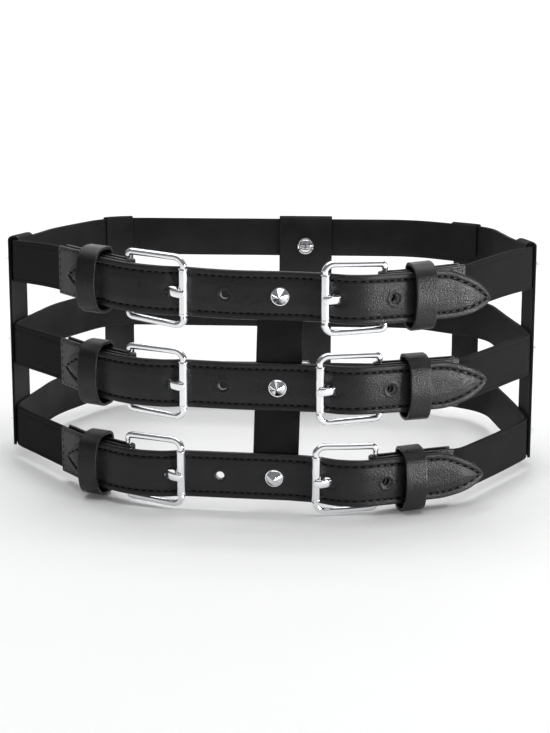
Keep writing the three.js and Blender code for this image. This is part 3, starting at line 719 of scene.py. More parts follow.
def base_strap_shape(row):
    """Base strap: a rounded section carried along the outline, with slow waves, the sum of sines of s.

    A crease runs near both edges of each face, as deep as exp(-x^2) of the distance x from its line."""
    start = row["right_heel"] + BASE["setback"]
    end = LOOP_LENGTH + row["left_heel"] - BASE["setback"]
    s = np.linspace(start, end, 340)[:, None]
    half = BASE["width"] / 2.0
    out, across = strap_section(BASE["thickness"] / 2.0, half, BASE["edge_radius"], face_steps=55)
    wave = sum(tall * np.sin(s / length + phase * row["height"]) for tall, length, phase in RIPPLES)
    from_line = (half - CREASE["inset"] - np.abs(across)) / CREASE["width"]
    crease = CREASE["depth"] * np.exp(-from_line**2) * np.sign(out)
    return skin(place(s, out - crease + wave, row["height"] + across))


def heel_place(row, side):
    """A heel bar's distance, and the direction away from the front's middle: 1 at right, -1 at left."""
    return row[f"{side}_heel"], 1.0 if side == "right" else -1.0


def centre_offset(row, s):
    """How far out the centre strap's middle lies: high on the chapes, and in behind the rollers between."""
    share = smooth_step(row["right_heel"] - DIP_FROM, row["right_heel"] - DIP_TO, s)
    share = share * smooth_step(row["left_heel"] + DIP_FROM, row["left_heel"] + DIP_TO, s)
    return OVER_CHAPE + (BEHIND_ROLLER - OVER_CHAPE) * share + SPRING["slope"] * past_spring(s)


def past_spring(s):
    """Distance past where the right end springs off: 0, then the parabola (d + w)^2 / 4w, then d itself."""
    past, softness = s - SPRING["from"], SPRING["softness"]
    return np.maximum(past, np.clip(past + softness, 0.0, 2.0 * softness) ** 2 / (4.0 * softness))


def droop(row, s):
    """How far the right end hangs down: it grows with the square of the distance past its keeper."""
    start = SPRING["hangs_from"]
    return row["droop"] * (np.maximum(s - start, 0.0) / (row["right_tip"] - start)) ** 2


def tip_width(row, s, half, short, sharpness):
    """Half width of an outline with two points, and its slope.

    It is (1 - t^2)^sharpness along each tip, where t goes from 0 to 1 at the point, short of the end."""
    length = CENTRE["tip"] - short
    right = np.clip((s - (row["right_tip"] - CENTRE["tip"])) / length, 0.0, 1.0)
    left = np.clip(((row["left_tip"] + CENTRE["tip"]) - s) / length, 0.0, 1.0)
    t = np.maximum(right, left)
    rest = np.maximum(1.0 - t * t, 1e-5)
    width = half * rest**sharpness
    slope = half * sharpness * rest ** (sharpness - 1.0) * 2.0 * t / length
    return width, slope


def edge_width(row, s):
    """Half width of the centre strap's own edge, and its slope."""
    return tip_width(row, s, CENTRE["width"] / 2.0, 0.0, CENTRE["sharpness"])


def stitch_width(row, s, settings):
    """Half width of the stitch line, and its slope."""
    half = CENTRE["width"] / 2.0 - settings.stitch_inset / MILLIMETRE
    return tip_width(row, s, half, STITCH_TIP["short"], STITCH_TIP["sharpness"])


def slot_middle(row, side):
    """Distance of the middle of the slot that a prong comes through."""
    heel, away = heel_place(row, side)
    return heel - away * (PRONG_SLOT["from"] + PRONG_SLOT["to"]) / 2.0


def dip(r, form):
    """Depth of a dip at a distance r: the full depth inside, and then depth exp(-((r - from) / width)^2)."""
    return form["depth"] * np.exp(-((np.maximum(r - form["from"], 0.0) / form["width"]) ** 2))


def centre_surface(row, s, across, settings):
    """Outward offset of the centre strap's face.

    Its edge is rounded over the first millimetre, a groove runs at the stitch line, and the middle is padded.
    The face dips towards each hole, and the spare holes have a low lip round them."""
    width, slope = edge_width(row, s)
    depth = np.maximum(width - np.abs(across), 0.0) / np.sqrt(1.0 + slope * slope)
    rounding = np.sqrt(1.0 - (1.0 - np.minimum(depth, 1.0)) ** 2)
    line_width, line_slope = stitch_width(row, s, settings)
    inside = (line_width - np.abs(across)) / np.sqrt(1.0 + line_slope * line_slope)
    relief = PADDING["height"] * smooth_step(PADDING["from"], PADDING["to"], inside)
    relief = relief - GROOVE["depth"] * np.exp(-((inside / GROOVE["width"]) ** 2))
    for place_at in SPARE_HOLES.values():
        r = np.hypot(s - row["stud"] - place_at, across)
        lip = HOLE_LIP["height"] * np.exp(-(((r - HOLE_LIP["radius"]) / HOLE_LIP["width"]) ** 2))
        relief = relief - dip(r, HOLE_DIP) + lip
    flat = (PRONG_SLOT["to"] - PRONG_SLOT["from"]) / 2.0 - SLOT_DIP["flat_less"]
    for side in ("left", "right"):
        r = np.hypot(np.maximum(np.abs(s - slot_middle(row, side)) - flat, 0.0), across)
        relief = relief - dip(r, SLOT_DIP)
    return centre_offset(row, s) + (CENTRE["thickness"] / 2.0 + relief) * rounding, rounding


def centre_strap_shape(row, settings):
    """Centre strap: face and back over a grid of distance and sin-spaced places across."""
    tip = CENTRE["tip"]
    body = np.arange(row["left_tip"] + tip, row["right_tip"] - tip, 0.75)
    near_hole = np.arange(-4.5, 4.5, 0.3)
    for place_at in SPARE_HOLES.values():
        body = np.union1d(body, row["stud"] + place_at + near_hole)
    t = np.sin(np.linspace(0.0, np.pi / 2.0, 46))
    right = row["right_tip"] - tip + tip * t * 0.9999
    left = (row["left_tip"] + tip - tip * t * 0.9999)[::-1]
    s = np.concatenate([left, body[1:], right])[:, None]
    face = np.sin(np.linspace(-np.pi / 2.0, np.pi / 2.0, 105))
    back = np.sin(np.linspace(np.pi / 2.0, -np.pi / 2.0, 21))[1:-1]
    width, _ = edge_width(row, s)
    front_across = face * width
    front, _ = centre_surface(row, s, front_across, settings)
    back_across = back * width
    _, rounding = centre_surface(row, s, back_across, settings)
    behind = centre_offset(row, s) - CENTRE["thickness"] / 2.0 * rounding
    out = np.concatenate([front, behind], axis=1)
    across = np.concatenate([front_across, back_across], axis=1)
    return skin(place(s, out, row["height"] - droop(row, s) + across))


def prong_slot_cutter(row, side):
    """The slot that a prong comes through, slanted along the prong."""
    _, away = heel_place(row, side)
    flat = PRONG_SLOT["to"] - PRONG_SLOT["from"] - PRONG_SLOT["height"]
    radius = PRONG_SLOT["height"] / 2.0
    return hole_cutter(slot_middle(row, side), row["height"], radius, flat, -away * PRONG_SLOT["slant"])


def centre_stitches(row, settings):
    """Stitches along both sides of the stitch line, which meet in a point at each tip."""
    s = np.linspace(row["left_tip"] + STITCH_TIP["short"], row["right_tip"] - STITCH_TIP["short"], 1200)
    across, _ = stitch_width(row, s, settings)
    centres, directions = spaced(np.stack([s, across], axis=1), settings.stitch_pitch / MILLIMETRE)
    mirror = np.array([1.0, -1.0])
    centres = np.concatenate([centres, centres * mirror])
    directions = np.concatenate([directions, directions * mirror])
    clear = np.ones(len(centres), bool)
    for side in ("left", "right"):
        heel, away = heel_place(row, side)
        clear &= np.abs(centres[:, 0] - heel + away * FRAME["reach"]) > CLEAR_OF_ROLLER
    centres[:, 1] += row["height"] - droop(row, centres[:, 0])

    def surface(distance, height):
        return centre_surface(row, distance, height - row["height"] + droop(row, distance), settings)[0]

    return stitches(centres[clear], directions[clear], surface, settings)


def chape_path(row, side):
    """Plan of a chape's middle line: in along its outer layer, round the heel bar, back along the inner."""
    heel, away = heel_place(row, side)
    near = OVER_BASE + CHAPE["thickness"] / 2.0
    eye = HEEL_BAR["radius"] + GAP + CHAPE["thickness"] / 2.0
    run = np.linspace(CHAPE_LENGTH[side], 0.0, 90)
    layer = eye + (near - eye) * smooth_step(CHAPE["closes_from"], CHAPE["closes_to"], run)
    x, y, tx, ty = along(heel + away * run)
    outer = np.stack([x + ty * layer, y - tx * layer], axis=1)
    inner = np.stack([x - ty * layer, y + tx * layer], axis=1)[::-1]
    x0, y0, tx0, ty0 = along(np.array(heel))
    angle = np.linspace(np.pi / 2.0, -np.pi / 2.0, 15)[1:-1]
    bend_x = x0 - away * tx0 * eye * np.cos(angle) + ty0 * eye * np.sin(angle)
    bend_y = y0 - away * ty0 * eye * np.cos(angle) - tx0 * eye * np.sin(angle)
    return np.concatenate([outer, np.stack([bend_x, bend_y], axis=1), inner])


def chape_shape(row, side):
    """Chape: a rounded section carried along its plan."""
    path = chape_path(row, side)
    _, normal = path_normals(path)
    out, across = strap_section(CHAPE["thickness"] / 2.0, CHAPE["width"] / 2.0, CHAPE["edge_radius"])
    flat = np.zeros(len(path))
    middle = np.column_stack([path, flat + row["height"]])
    normals = np.column_stack([normal, flat])
    up = np.column_stack([flat, flat, flat + 1.0])
    return skin(settle(sweep(middle, normals, up, out, across)))


def chape_cutter(row, side):
    """The slot at the fold that the prong's eye passes through."""
    heel, away = heel_place(row, side)
    middle = heel + away * (CHAPE["slot_front"] - CHAPE["slot_back"]) / 2.0
    radius = CHAPE["slot"] / 2.0
    length = CHAPE["slot_front"] + CHAPE["slot_back"]
    return hole_cutter(middle, row["height"], radius, length - 2.0 * radius)


def chape_stitches(row, side, settings, face):
    """Box stitching on a chape's square end, on its outer face (1) or inner face (-1)."""
    heel, away = heel_place(row, side)
    edge = CHAPE["width"] / 2.0 - CHAPE_STITCH["inset"]
    start = heel + away * CHAPE_STITCH["from"]
    end = heel + away * (CHAPE_LENGTH[side] - CHAPE_STITCH["inset"])
    curve = np.array([[start, edge], [end, edge], [end, -edge], [start, -edge]])
    parts = [spaced(curve[k:k + 2], settings.stitch_pitch / MILLIMETRE) for k in range(3)]
    centres = np.concatenate([part[0] for part in parts])
    directions = np.concatenate([part[1] for part in parts])
    centres[:, 1] += row["height"]
    level = OVER_BASE + CHAPE["thickness"] - CHAPE_STITCH["sunk"]

    def surface(distance, _):
        return face * level + 0.0 * distance

    return stitches(centres, directions, surface, settings, CHAPE_STITCH["share_of_radius"])


def buckle_axes(row, side):
    """Matrix from a buckle's axes to the belt's: X from heel bar to front bar, Y along them, Z outwards."""
    heel, away = heel_place(row, side)
    x0, y0, _, _ = along(np.array(heel))
    s = np.arange(20.0, FRAME["reach"] + 5.0, 0.01)
    x, y, tx, ty = along(heel - away * s)
    front_x, front_y = x + ty * FRONT_BAR["over_base"], y - tx * FRONT_BAR["over_base"]
    found = np.argmax(np.hypot(front_x - x0, front_y - y0) >= FRAME["reach"])
    x_axis = np.array([front_x[found] - x0, front_y[found] - y0, 0.0])
    x_axis = x_axis / np.linalg.norm(x_axis)
    y_axis = np.array([0.0, 0.0, -away])
    matrix = np.eye(4)
    matrix[:3, 0], matrix[:3, 1], matrix[:3, 2] = x_axis, y_axis, np.cross(x_axis, y_axis)
    matrix[:3, 3] = [x0, y0, row["height"]]
    return matrix


def in_axes(points, matrix):
    """Points of a buckle's own axes, settled in the frame."""
    return settle(points @ matrix[:3, :3].T + matrix[:3, 3])


def frame_shape(matrix):
    """Buckle frame: a closed wire with its middle line on a tapered, rounded rectangle.

    The section is a superellipse, as wide as the arms, and round and thinner on the bars."""
    half = (FRAME["height"] - FRAME["arm"]) / 2.0
    rear_half = (FRAME["rear_height"] - FRAME["arm"]) / 2.0
    front = FRAME["reach"] + FRAME["swell"]
    corners = [
        (front, half, FRAME["front_corner"]), (0.0, rear_half, FRAME["rear_corner"]),
        (0.0, -rear_half, FRAME["rear_corner"]), (front, -half, FRAME["front_corner"]),
    ]
    distance, line = trace_corners(corners, (front, 0.0))
    even = np.linspace(0.0, distance[-1], 220, endpoint=False)
    x = np.interp(even, distance, line[:, 0])
    y = np.interp(even, distance, line[:, 1])
    at_front = x > FRAME["reach"] / 2.0
    on_front = smooth_step(FRONT_BAR["wide_from"], FRONT_BAR["round_to"], np.abs(y)) * at_front
    on_rear = smooth_step(HEEL_BAR["wide_from"], HEEL_BAR["round_to"], np.abs(y)) * ~at_front
    x = x - FRAME["swell"] * on_front
    _, normal = path_normals(np.stack([x, y], axis=1), closed=True)
    wide = np.full(len(x), FRAME["arm"] / 2.0)
    tall = np.full(len(x), FRAME["thickness"] / 2.0)
    for bar, share in ((FRONT_BAR, on_front), (HEEL_BAR, on_rear)):
        wide += (bar["radius"] - FRAME["arm"] / 2.0) * share
        tall += (bar["radius"] - FRAME["thickness"] / 2.0) * share
    flat, rise = superellipse(24, FRAME["power"])
    px = x[:, None] + normal[:, 0:1] * wide[:, None] * flat
    py = y[:, None] + normal[:, 1:2] * wide[:, None] * flat
    pz = tall[:, None] * rise
    return skin(in_axes(np.stack([px, py, pz], axis=-1), matrix), closed=True)


def roller_shape(matrix):
    """Roller: a turned tube with a rounded collar and a fine groove at each end."""
    half, outer, inner = ROLLER["length"] / 2.0, ROLLER["outer"], ROLLER["inner"]
    end = np.concatenate([[[inner, half], [inner + 0.1, half]], ROLLER_END + [outer, half]])
    barrel = np.column_stack([np.full(9, outer - 0.02), np.linspace(half - 2.0, -half + 2.0, 9)])
    other = end[::-1] * np.array([1.0, -1.0])
    bore = np.column_stack([np.full(3, inner), np.linspace(-half + 1.0, half - 1.0, 3)])
    profile = np.concatenate([end, barrel, other, bore])
    turned = np.eye(4)
    turned[0, 3] = FRAME["reach"]
    return skin(in_axes(lathe(profile, turned), matrix), closed=True)


def prong_shape(matrix):
    """Prong: a crowned bar along its path with a rounded end, and an eye round the heel bar.

    The bar's width closes over its end as sqrt(1 - t^2). The eye is the same section in a ring."""
    path = smooth_curve(PRONG_PATH, 90)
    _, normal = path_normals(path)
    normal = -normal
    run = np.concatenate([[0.0], np.cumsum(np.linalg.norm(np.diff(path, axis=0), axis=1))])
    t = np.clip((run - run[-1]) / PRONG["end"] + 1.0, 0.0, 0.999)
    narrow = np.sqrt(1.0 - t * t)
    thin = 1.0 - PRONG["thins_by"] * smooth_step(run[-1] - PRONG["thins_over"], run[-1], run)
    flat, rise = superellipse(28, PRONG["power"])
    wide = PRONG["width"] / 2.0 * flat
    rise = PRONG["thickness"] / 2.0 * rise
    lift = rise * thin[:, None] * np.sqrt(narrow)[:, None]
    px = path[:, 0:1] + normal[:, 0:1] * lift
    pz = path[:, 1:2] + normal[:, 1:2] * lift
    py = wide * narrow[:, None]
    bar = np.stack([px, py, pz], axis=-1)
    middle = PRONG["eye"] + PRONG["wall"] / 2.0
    ring = full_turn(40)[:, None]
    out = rise / PRONG["thickness"] * PRONG["wall"]
    eye = np.stack([(middle + out) * np.cos(ring), wide + 0.0 * ring, (middle + out) * np.sin(ring)], axis=-1)
    return joined([skin(in_axes(bar, matrix)), skin(in_axes(eye, matrix), closed=True)])


def keeper_shape(row, side):
    """Keeper: a rounded section carried round a closed loop that is flat behind and crowned in front."""
    heel, away = heel_place(row, side)
    skin_half = KEEPER["thickness"] / 2.0
    half = KEEPER["height"] / 2.0 - skin_half
    form = KEEPER_SIDES[side]
    back, outside, crown = (form[key] - skin_half for key in ("inside", "outside", "crown"))
    front_radius, back_radius = KEEPER["front_radius"] - skin_half, KEEPER["back_radius"] - skin_half
    corners = [
        (outside, -half, front_radius), (crown, 0.0, KEEPER["crown_radius"]), (outside, half, front_radius),
        (back, half, back_radius), (back, -half, back_radius),
    ]
    distance, line = trace_corners(corners, ((outside + back) / 2.0, -half))
    _, x, y = softened(distance, line, KEEPER["softness"], 150)
    path = np.stack([x, y], axis=1)
    _, normal = path_normals(path, closed=True)
    out, across = strap_section(skin_half, KEEPER["width"] / 2.0, KEEPER["edge_radius"])
    px, py, tx, ty = along(np.array(heel + away * form["from_heel"]))
    point = np.array([px, py, row["height"] - KEEPER["drop"]])
    cos, sin = math.cos(math.radians(form["turn"])), math.sin(math.radians(form["turn"]))
    outward = np.array([cos * ty + sin * tx, sin * ty - cos * tx, 0.0])
    along_strap = np.array([cos * tx - sin * ty, sin * tx + cos * ty, 0.0])
    up = np.array([0.0, 0.0, 1.0])
    centre = point + path[:, 0:1] * outward + path[:, 1:2] * up
    normals = normal[:, 0:1] * outward + normal[:, 1:2] * up
    sides = np.broadcast_to(along_strap, centre.shape)
    return skin(settle(sweep(centre, normals, sides, out, across)), closed=True)


def upright_shape(path, start, width, thickness, lean=0.0):
    """Upright strap: a rounded section carried along a path of (out, height), as wide along the outline."""
    _, normal = path_normals(path)
    out, across = strap_section(thickness / 2.0, width / 2.0, UPRIGHT["edge_radius"], face_steps=15)
    height = path[:, 1:2] + normal[:, 1:2] * out
    reach = path[:, 0:1] + normal[:, 0:1] * out
    s = start + lean * (height - ROWS["lower"]["height"]) + across
    return skin(place(s, reach, height))


def fold(near, thickness, level, sign, gap=FOLD_GAP, count=13):
    """Half an ellipse over an edge, from the outer face to the inner one, through the strap's middle."""
    angle = np.linspace(0.0, np.pi, count)
    wide, tall = near + thickness / 2.0, gap + thickness / 2.0
    return np.column_stack([wide * np.cos(angle), level + sign * tall * np.sin(angle)])


def straight(out, low, high, step=2.5):
    """Points of a straight run at one offset, from one height to another."""
    count = max(2, int(abs(high - low) / step))
    return np.column_stack([np.full(count, out), np.linspace(low, high, count)])


def stud_axes(distance, height):
    """Matrix with Y along the outward normal at a place of the outline."""
    x, y, tx, ty = along(np.array(distance))
    matrix = np.eye(4)
    matrix[:3, 0], matrix[:3, 1], matrix[:3, 2] = [-tx, -ty, 0.0], [ty, -tx, 0.0], [0.0, 0.0, 1.0]
    matrix[:3, 3] = [x, y, height]
    return matrix


def stud_shape(distance, height, outer_face, inner_face):
    """Cone stud: a turned cone with a rounded point and a thin rim, its shank, and a domed cap inside."""
    top, bottom = outer_face + GAP, inner_face - GAP
    radius, cap, shank = STUD["radius"], STUD["cap_radius"], STUD["shank"]
    flank = np.linspace(1.0, 0.08, 16)
    low = top + STUD["rim"] + CONE["above_rim"]
    tall = STUD["height"] - STUD["rim"] - CONE["blunt"]
    cone = np.column_stack([(radius - CONE["inset"]) * flank, low + tall * (1.0 - flank)])
    tip = top + STUD["height"]
    point = [[CONE["point_radius"], tip - CONE["point_radius"]], [ON_AXIS, tip - CONE["point_drop"]]]
    rim = STUD_RIM + [radius, top]
    turn = np.linspace(np.pi / 2.0, 0.12, 10)
    dome_rise = STUD["cap_height"] - DOME["rise"]
    dome = [(cap - DOME["inset"]) * np.cos(turn), bottom - DOME["rise"] - dome_rise * np.sin(turn)]
    edge = CAP_RIM * [1.0, -1.0] + [cap, bottom]
    profile = np.concatenate([
        [[ON_AXIS, bottom - STUD["cap_height"]]], np.column_stack(dome)[1:], edge,
        [[shank, bottom], [shank, top]], rim, cone, point,
    ])
    return skin(settle(lathe(profile, stud_axes(distance, height))))


# Settings


class LeatherSettings(bpy.types.PropertyGroup):
    """Colours and grain of the straps, and their stitching."""

    plain_colour: bpy.props.FloatVectorProperty(
        name="Plain leather", description="Colour of the smooth straps", subtype="COLOR", size=3,
        min=0.0, max=1.0, default=(0.009, 0.009, 0.0095))
    grain_colour: bpy.props.FloatVectorProperty(
        name="Grained leather", description="Colour of the grained straps", subtype="COLOR", size=3,
        min=0.0, max=1.0, default=(0.008, 0.008, 0.0088))
    # Painted light: a lighter colour on the inner faces of the smooth straps, standing in for light falling
    # on them
    inner_painted_light_colour: bpy.props.FloatVectorProperty(
        name="Inner painted light", description="Colour of the inner faces of the smooth straps", subtype="COLOR", size=3,
        min=0.0, max=1.0, default=(0.024, 0.024, 0.0245))
    # Light grey hole walls: the cut edge, and a painted highlight ring at the holes
    cut_edge_and_highlight_colour: bpy.props.FloatVectorProperty(
        name="Cut edge and highlight", description="Colour of the punched edges of the holes", subtype="COLOR", size=3,
        min=0.0, max=1.0, default=(0.2, 0.2, 0.195))
    thread_colour: bpy.props.FloatVectorProperty(
        name="Thread", description="Colour of the stitches", subtype="COLOR", size=3,
        min=0.0, max=1.0, default=(0.0015, 0.0015, 0.0017))
    plain_roughness: bpy.props.FloatProperty(
        name="Plain roughness", description="Roughness of the smooth straps", subtype="FACTOR",
        min=0.0, max=1.0, default=0.6)
    grain_roughness: bpy.props.FloatProperty(
        name="Grain roughness", description="Roughness of the grained straps", subtype="FACTOR",
        min=0.0, max=1.0, default=0.3)
    plain_gloss: bpy.props.FloatProperty(
        name="Plain gloss", description="Strength of the smooth straps' sheen", subtype="FACTOR",
        min=0.0, max=1.0, default=0.04)
    grain_gloss: bpy.props.FloatProperty(
        name="Grain gloss", description="Strength of the grained straps' sheen", subtype="FACTOR",
        min=0.0, max=1.0, default=0.3)
    grain: bpy.props.FloatProperty(
        name="Grain", description="Size of the grain's pebbles", unit="LENGTH", min=0.0001, default=0.0006)
    grain_depth: bpy.props.FloatProperty(
        name="Grain depth", description="Depth of the grain", unit="LENGTH", min=0.0, default=0.00012)
    stitch_inset: bpy.props.FloatProperty(
        name="Stitch inset", description="From a strap's edge to its stitches", unit="LENGTH", default=0.0032)
    stitch_pitch: bpy.props.FloatProperty(
        name="Stitch pitch", description="From one stitch to the next", unit="LENGTH",
        min=0.001, default=0.0034)
    stitch_length: bpy.props.FloatProperty(
        name="Stitch length", description="Length of one stitch", unit="LENGTH", min=0.0005, default=0.0025)
    thread_radius: bpy.props.FloatProperty(
        name="Thread radius", description="Radius of the thread", unit="LENGTH", min=0.0001, default=0.00034)


class MetalSettings(bpy.types.PropertyGroup):
    """Colour and polish of the buckles and studs."""

    colour: bpy.props.FloatVectorProperty(
        name="Plating", description="Colour of the plating", subtype="COLOR", size=3, min=0.0, max=1.0,
        default=(0.92, 0.925, 0.94))
    roughness: bpy.props.FloatProperty(
        name="Roughness", description="Dullness of the plating", subtype="FACTOR",
        min=0.0, max=1.0, default=0.09)


class StageSettings(bpy.types.PropertyGroup):
    """Floor, lights and camera."""

    floor_colour: bpy.props.FloatVectorProperty(
        name="Floor", description="Colour of the floor", subtype="COLOR", size=3,
        min=0.0, max=1.0, default=(0.9, 0.9, 0.9))
    key_power: bpy.props.FloatProperty(
        name="Key light", description="Power of the key light", unit="POWER", min=0.0, default=21.0)
    back_power: bpy.props.FloatProperty(
        name="Backdrop light", description="Power of the light on the backdrop", unit="POWER",
        min=0.0, default=13.0)
    top_power: bpy.props.FloatProperty(
        name="Top light", description="Power of the light overhead", unit="POWER", min=0.0, default=60.0)
    surround: bpy.props.FloatProperty(
        name="Surround", description="Brightness of the room", min=0.0, default=0.2)
    lens: bpy.props.FloatProperty(
        name="Lens", description="Focal length of the camera", unit="CAMERA", min=1.0, default=63.85)


# Operators


def each_side():
    """Each belt's name and row, with each of its two sides."""
    for name, row in ROWS.items():
        for side in ("left", "right"):
            yield name, row, side


class BELT_OT_base_straps(bpy.types.Operator):
    """Base straps: the plain straps from chape to chape round the back"""

    bl_idname = "belt.base_straps"
    bl_label = "Base straps"

    def execute(self, context):
        leather, inner_painted_light = finish(context, "smooth_leather"), finish(context, "inner_painted_light")
        for name, row in ROWS.items():
            node = f"{name}_base_strap"
            piece = make_piece(node, "plain_leather", base_strap_shape(row), leather)
            # The inner faces get a lighter copy of the leather, as painted light
            paint_inner_faces(piece, inner_painted_light)
        return {"FINISHED"}


class BELT_OT_centre_straps(bpy.types.Operator):
    """Centre straps: padded, stitched and pointed, with their holes"""

    bl_idname = "belt.centre_straps"
    bl_label = "Centre straps"

    def execute(self, context):
        settings = context.scene.belt_leather
        leather, thread = finish(context, "grained_leather"), finish(context, "thread")
        for name, row in ROWS.items():
            node = f"{name}_centre_strap"
            piece = make_piece(node, "grain_leather", centre_strap_shape(row, settings), leather)
            cutters = [
                hole_cutter(row["stud"] + place_at, row["height"], SPARE_HOLE_RADIUS)
                for place_at in SPARE_HOLES.values()
            ]
            cutters += [prong_slot_cutter(row, "right"), prong_slot_cutter(row, "left")]
            # The hole walls take the light grey cut edge, which is partly a painted highlight
            cut(piece, cutters, finish(context, "cut_edge_and_highlight"))
            add_shape(piece, centre_stitches(row, settings), thread)
        return {"FINISHED"}


class BELT_OT_chapes(bpy.types.Operator):
    """Chapes: leather folded round each heel bar and box-stitched"""

    bl_idname = "belt.chapes"
    bl_label = "Chapes"

    def execute(self, context):
        settings = context.scene.belt_leather
        leather, thread = finish(context, "grained_leather"), finish(context, "thread")
        for name, row, side in each_side():
            piece = make_piece(f"{name}_{side}_chape", "grain_leather", chape_shape(row, side), leather)
            cut(piece, [chape_cutter(row, side)])
            both_faces = [chape_stitches(row, side, settings, face) for face in (1.0, -1.0)]
            add_shape(piece, joined(both_faces), thread)
        return {"FINISHED"}


class BELT_OT_buckles(bpy.types.Operator):
    """Buckles: frame, roller and prong of each"""

    bl_idname = "belt.buckles"
    bl_label = "Buckles"

    def execute(self, context):
        chrome = finish(context, "plating")
        for name, row, side in each_side():
            matrix = buckle_axes(row, side)
            lifted = matrix.copy()
            lifted[2, 3] += FRAME_LIFT[name]
            make_piece(f"{name}_{side}_buckle_frame", "chrome", frame_shape(lifted), chrome)
            make_piece(f"{name}_{side}_roller", "chrome", roller_shape(lifted), chrome)
            make_piece(f"{name}_{side}_prong", "chrome", prong_shape(matrix), chrome)
        return {"FINISHED"}


class BELT_OT_keepers(bpy.types.Operator):
    """Keepers: the loops that hold the strap ends"""

    bl_idname = "belt.keepers"
    bl_label = "Keepers"

    def execute(self, context):
        leather = finish(context, "grained_leather")
        for name, row, side in each_side():
            make_piece(f"{name}_{side}_keeper", "grain_leather", keeper_shape(row, side), leather)
        return {"FINISHED"}


class BELT_OT_uprights(bpy.types.Operator):
    """Upright straps: four folded over the upper belt, one at the back and one at the front"""

    bl_idname = "belt.uprights"
    bl_label = "Upright straps"

    def execute(self, context):
        leather, inner_painted_light = finish(context, "smooth_leather"), finish(context, "inner_painted_light")
        bottom = ROWS["lower"]["height"] - BASE["width"] / 2.0
        top = ROWS["upper"]["height"] + BASE["width"] / 2.0
        shapes = {}
        for name, x, y, width, thickness, studs in UPRIGHTS:
            out = OVER_BASE + thickness / 2.0
            path = np.concatenate([
                straight(out, bottom, top)[:-1],
                fold(OVER_BASE, thickness, top, 1.0, FOLD_GAP if studs else GAP / 2.0),
                straight(-out, top, top - UPRIGHT["leaf"])[1:],
            ])
            shapes[name] = upright_shape(path, distance_near(x, y), width, thickness)
        thickness, leaf = BACK_UPRIGHT["thickness"], BACK_UPRIGHT["leaf"]
        out = OVER_BASE + thickness / 2.0
        path = np.concatenate([
            straight(out, top - leaf, top)[:-1], fold(OVER_BASE, thickness, top, 1.0),
            straight(-out, top, bottom)[1:-1], fold(OVER_BASE, thickness, bottom, -1.0)[::-1],
            straight(out, bottom, bottom + leaf)[1:],
        ])
        shapes["back"] = upright_shape(path, distance_near(*BACK_PLACE), BACK_UPRIGHT["width"], thickness)
        lower, upper = ROWS["lower"], ROWS["upper"]
        reach = CENTRE["width"] / 2.0 - UPRIGHT["inset"]
        lean = (upper["stud"] - lower["stud"]) / (upper["height"] - lower["height"])
        out = BEHIND_CENTRE - UPRIGHT["thickness"] / 2.0
        path = straight(out, lower["height"] - reach, upper["height"] + reach)
        shapes["front"] = upright_shape(path, lower["stud"], UPRIGHT["width"], UPRIGHT["thickness"], lean)
        for name, shape in shapes.items():
            node = f"{name}_upright_strap"
            piece = make_piece(node, "plain_leather", shape, leather)
            if name != "front":
                # The inner faces get a lighter copy of the leather, as painted light
                paint_inner_faces(piece, inner_painted_light)
        return {"FINISHED"}


class BELT_OT_studs(bpy.types.Operator):
    """Cone studs with their caps"""

    bl_idname = "belt.studs"
    bl_label = "Studs"

    def execute(self, context):
        chrome = finish(context, "plating")
        places = []
        side_face = OVER_BASE + UPRIGHT["thickness"]
        back_face = OVER_BASE + BACK_UPRIGHT["thickness"]
        for name, row in ROWS.items():
            height = row["height"]
            for _, x, y, _, _, studs in UPRIGHTS:
                if studs:
                    inner = -side_face if name == "upper" else GAP - OVER_BASE
                    places.append((f"{name}_{studs}_stud", distance_near(x, y), height, side_face, inner))
            outer = OVER_BASE - GAP if name == "middle" else back_face
            dropped = height + BACK_STUD_DROP[name]
            places.append((f"{name}_back_stud", distance_near(*BACK_PLACE), dropped, outer, -back_face))
            outer = BEHIND_ROLLER + CENTRE["thickness"] / 2.0
            inner = BEHIND_CENTRE - UPRIGHT["thickness"]
            places.append((f"{name}_front_stud", row["stud"], height, outer, inner))
        for node, distance, height, outer, inner in places:
            shape = stud_shape(distance, height, outer, inner)
            make_piece(node, "chrome", shape, chrome, sharp_angle=30.0)
        return {"FINISHED"}


def area_light(name, location, target, size, power):
    """A rectangular soft light in metres that faces a target."""
    data = bpy.data.lights.new(name, "AREA")
    data.shape = "RECTANGLE"
    data.size, data.size_y = size
    data.energy = power
    light = add_object(name, data)
    ahead = np.array(target) - np.array(location)
    z_axis = -ahead / np.linalg.norm(ahead)
    x_axis = np.cross([0.0, 0.0, 1.0], z_axis)
    x_axis = x_axis / np.linalg.norm(x_axis)
    y_axis = np.cross(z_axis, x_axis)
    turn = Matrix(np.column_stack([x_axis, y_axis, z_axis]).tolist()).to_4x4()
    light.matrix_world = Matrix.Translation(location) @ turn


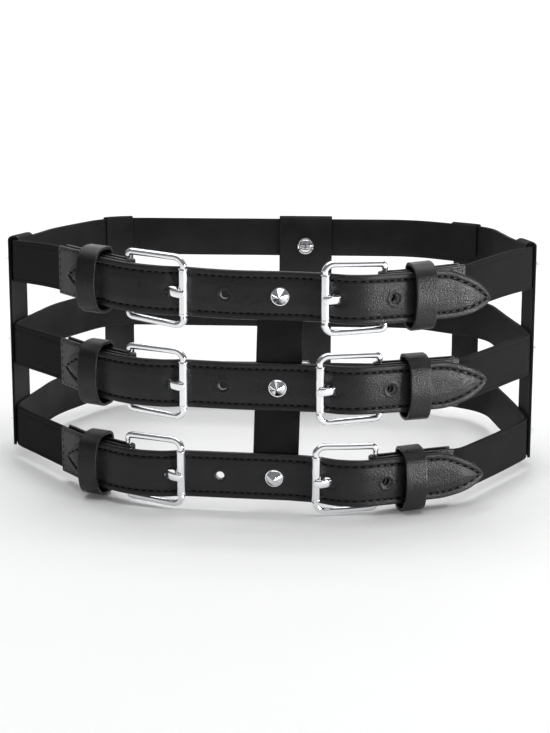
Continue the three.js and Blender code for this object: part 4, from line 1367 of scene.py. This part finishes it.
class BELT_OT_stage(bpy.types.Operator):
    """Stage: pale floor, soft lights and the camera at the photograph's angle"""

    bl_idname = "belt.stage"
    bl_label = "Stage"

    def execute(self, context):
        settings = context.scene.belt_stage
        bend, radius = FLOOR["bend"], FLOOR["radius"]
        turn = np.linspace(0.1, np.pi / 2.0, 12)
        run = np.concatenate([[FLOOR["front"], bend], bend + radius * np.sin(turn), [bend + radius]])
        rise = np.concatenate([[0.0, 0.0], radius - radius * np.cos(turn), [FLOOR["top"]]])
        wide = FLOOR["half_width"] * np.array([-1.0, 1.0])
        rings = np.stack(np.broadcast_arrays(wide[None, :], run[:, None], rise[:, None]), axis=-1)
        count = len(run)
        index = np.arange(2 * count).reshape(count, 2)
        faces = np.stack([index[:-1, 0], index[:-1, 1], index[1:, 1], index[1:, 0]], axis=-1)
        mesh = bpy.data.meshes.new("floor")
        mesh.from_pydata(rings.reshape(-1, 3).tolist(), [], faces.tolist())
        mesh.polygons.foreach_set("use_smooth", np.ones(len(mesh.polygons), bool))
        mesh.materials.append(finish(context, "floor"))
        add_object("floor", mesh)

        powers = (settings.key_power, settings.back_power, settings.top_power)
        for lamp, power in zip(LAMPS, powers):
            area_light(*lamp, power)

        world = bpy.data.worlds.new("studio")
        world.use_nodes = True
        room = world.node_tree.nodes["Background"]
        room.inputs["Color"].default_value = ROOM_COLOUR
        room.inputs["Strength"].default_value = settings.surround
        context.scene.world = world

        data = bpy.data.cameras.new("camera")
        data.lens = settings.lens
        data.sensor_width = 36.0
        data.clip_start, data.clip_end = 0.01, 20.0
        camera = add_object("camera", data)
        camera.location = CAMERA_PLACE
        camera.rotation_euler = (math.radians(90.0 - CAMERA_DOWN), 0.0, math.radians(CAMERA_TURN))
        context.scene.camera = camera
        context.scene.view_settings.view_transform = "Standard"
        return {"FINISHED"}


OPERATORS = (
    BELT_OT_base_straps, BELT_OT_centre_straps, BELT_OT_chapes, BELT_OT_buckles,
    BELT_OT_keepers, BELT_OT_uprights, BELT_OT_studs, BELT_OT_stage,
)


class BELT_PT_panel(bpy.types.Panel):
    """Lists the belt's pieces in the sidebar"""

    bl_idname = "BELT_PT_panel"
    bl_label = "Harness belt"
    bl_space_type = "VIEW_3D"
    bl_region_type = "UI"
    bl_category = "Harness belt"

    def draw(self, context):
        for settings in (context.scene.belt_leather, context.scene.belt_metal, context.scene.belt_stage):
            box = self.layout.box()
            for key in settings.__annotations__:
                box.prop(settings, key)
        for operator in OPERATORS:
            self.layout.operator(operator.bl_idname)


CLASSES = (LeatherSettings, MetalSettings, StageSettings, *OPERATORS, BELT_PT_panel)


def register():
    """Makes the classes and the scene's settings known to Blender."""
    for kind in CLASSES:
        bpy.utils.register_class(kind)
    bpy.types.Scene.belt_leather = bpy.props.PointerProperty(type=LeatherSettings)
    bpy.types.Scene.belt_metal = bpy.props.PointerProperty(type=MetalSettings)
    bpy.types.Scene.belt_stage = bpy.props.PointerProperty(type=StageSettings)


def unregister():
    """Takes the settings and the classes away again."""
    del bpy.types.Scene.belt_leather, bpy.types.Scene.belt_metal, bpy.types.Scene.belt_stage
    for kind in reversed(CLASSES):
        bpy.utils.unregister_class(kind)


def main():
    """Builds the belt and the stage."""
    register()
    bpy.ops.belt.base_straps()
    bpy.ops.belt.centre_straps()
    bpy.ops.belt.chapes()
    bpy.ops.belt.buckles()
    bpy.ops.belt.keepers()
    bpy.ops.belt.uprights()
    bpy.ops.belt.studs()
    bpy.ops.belt.stage()


if __name__ == "__main__":
    main()
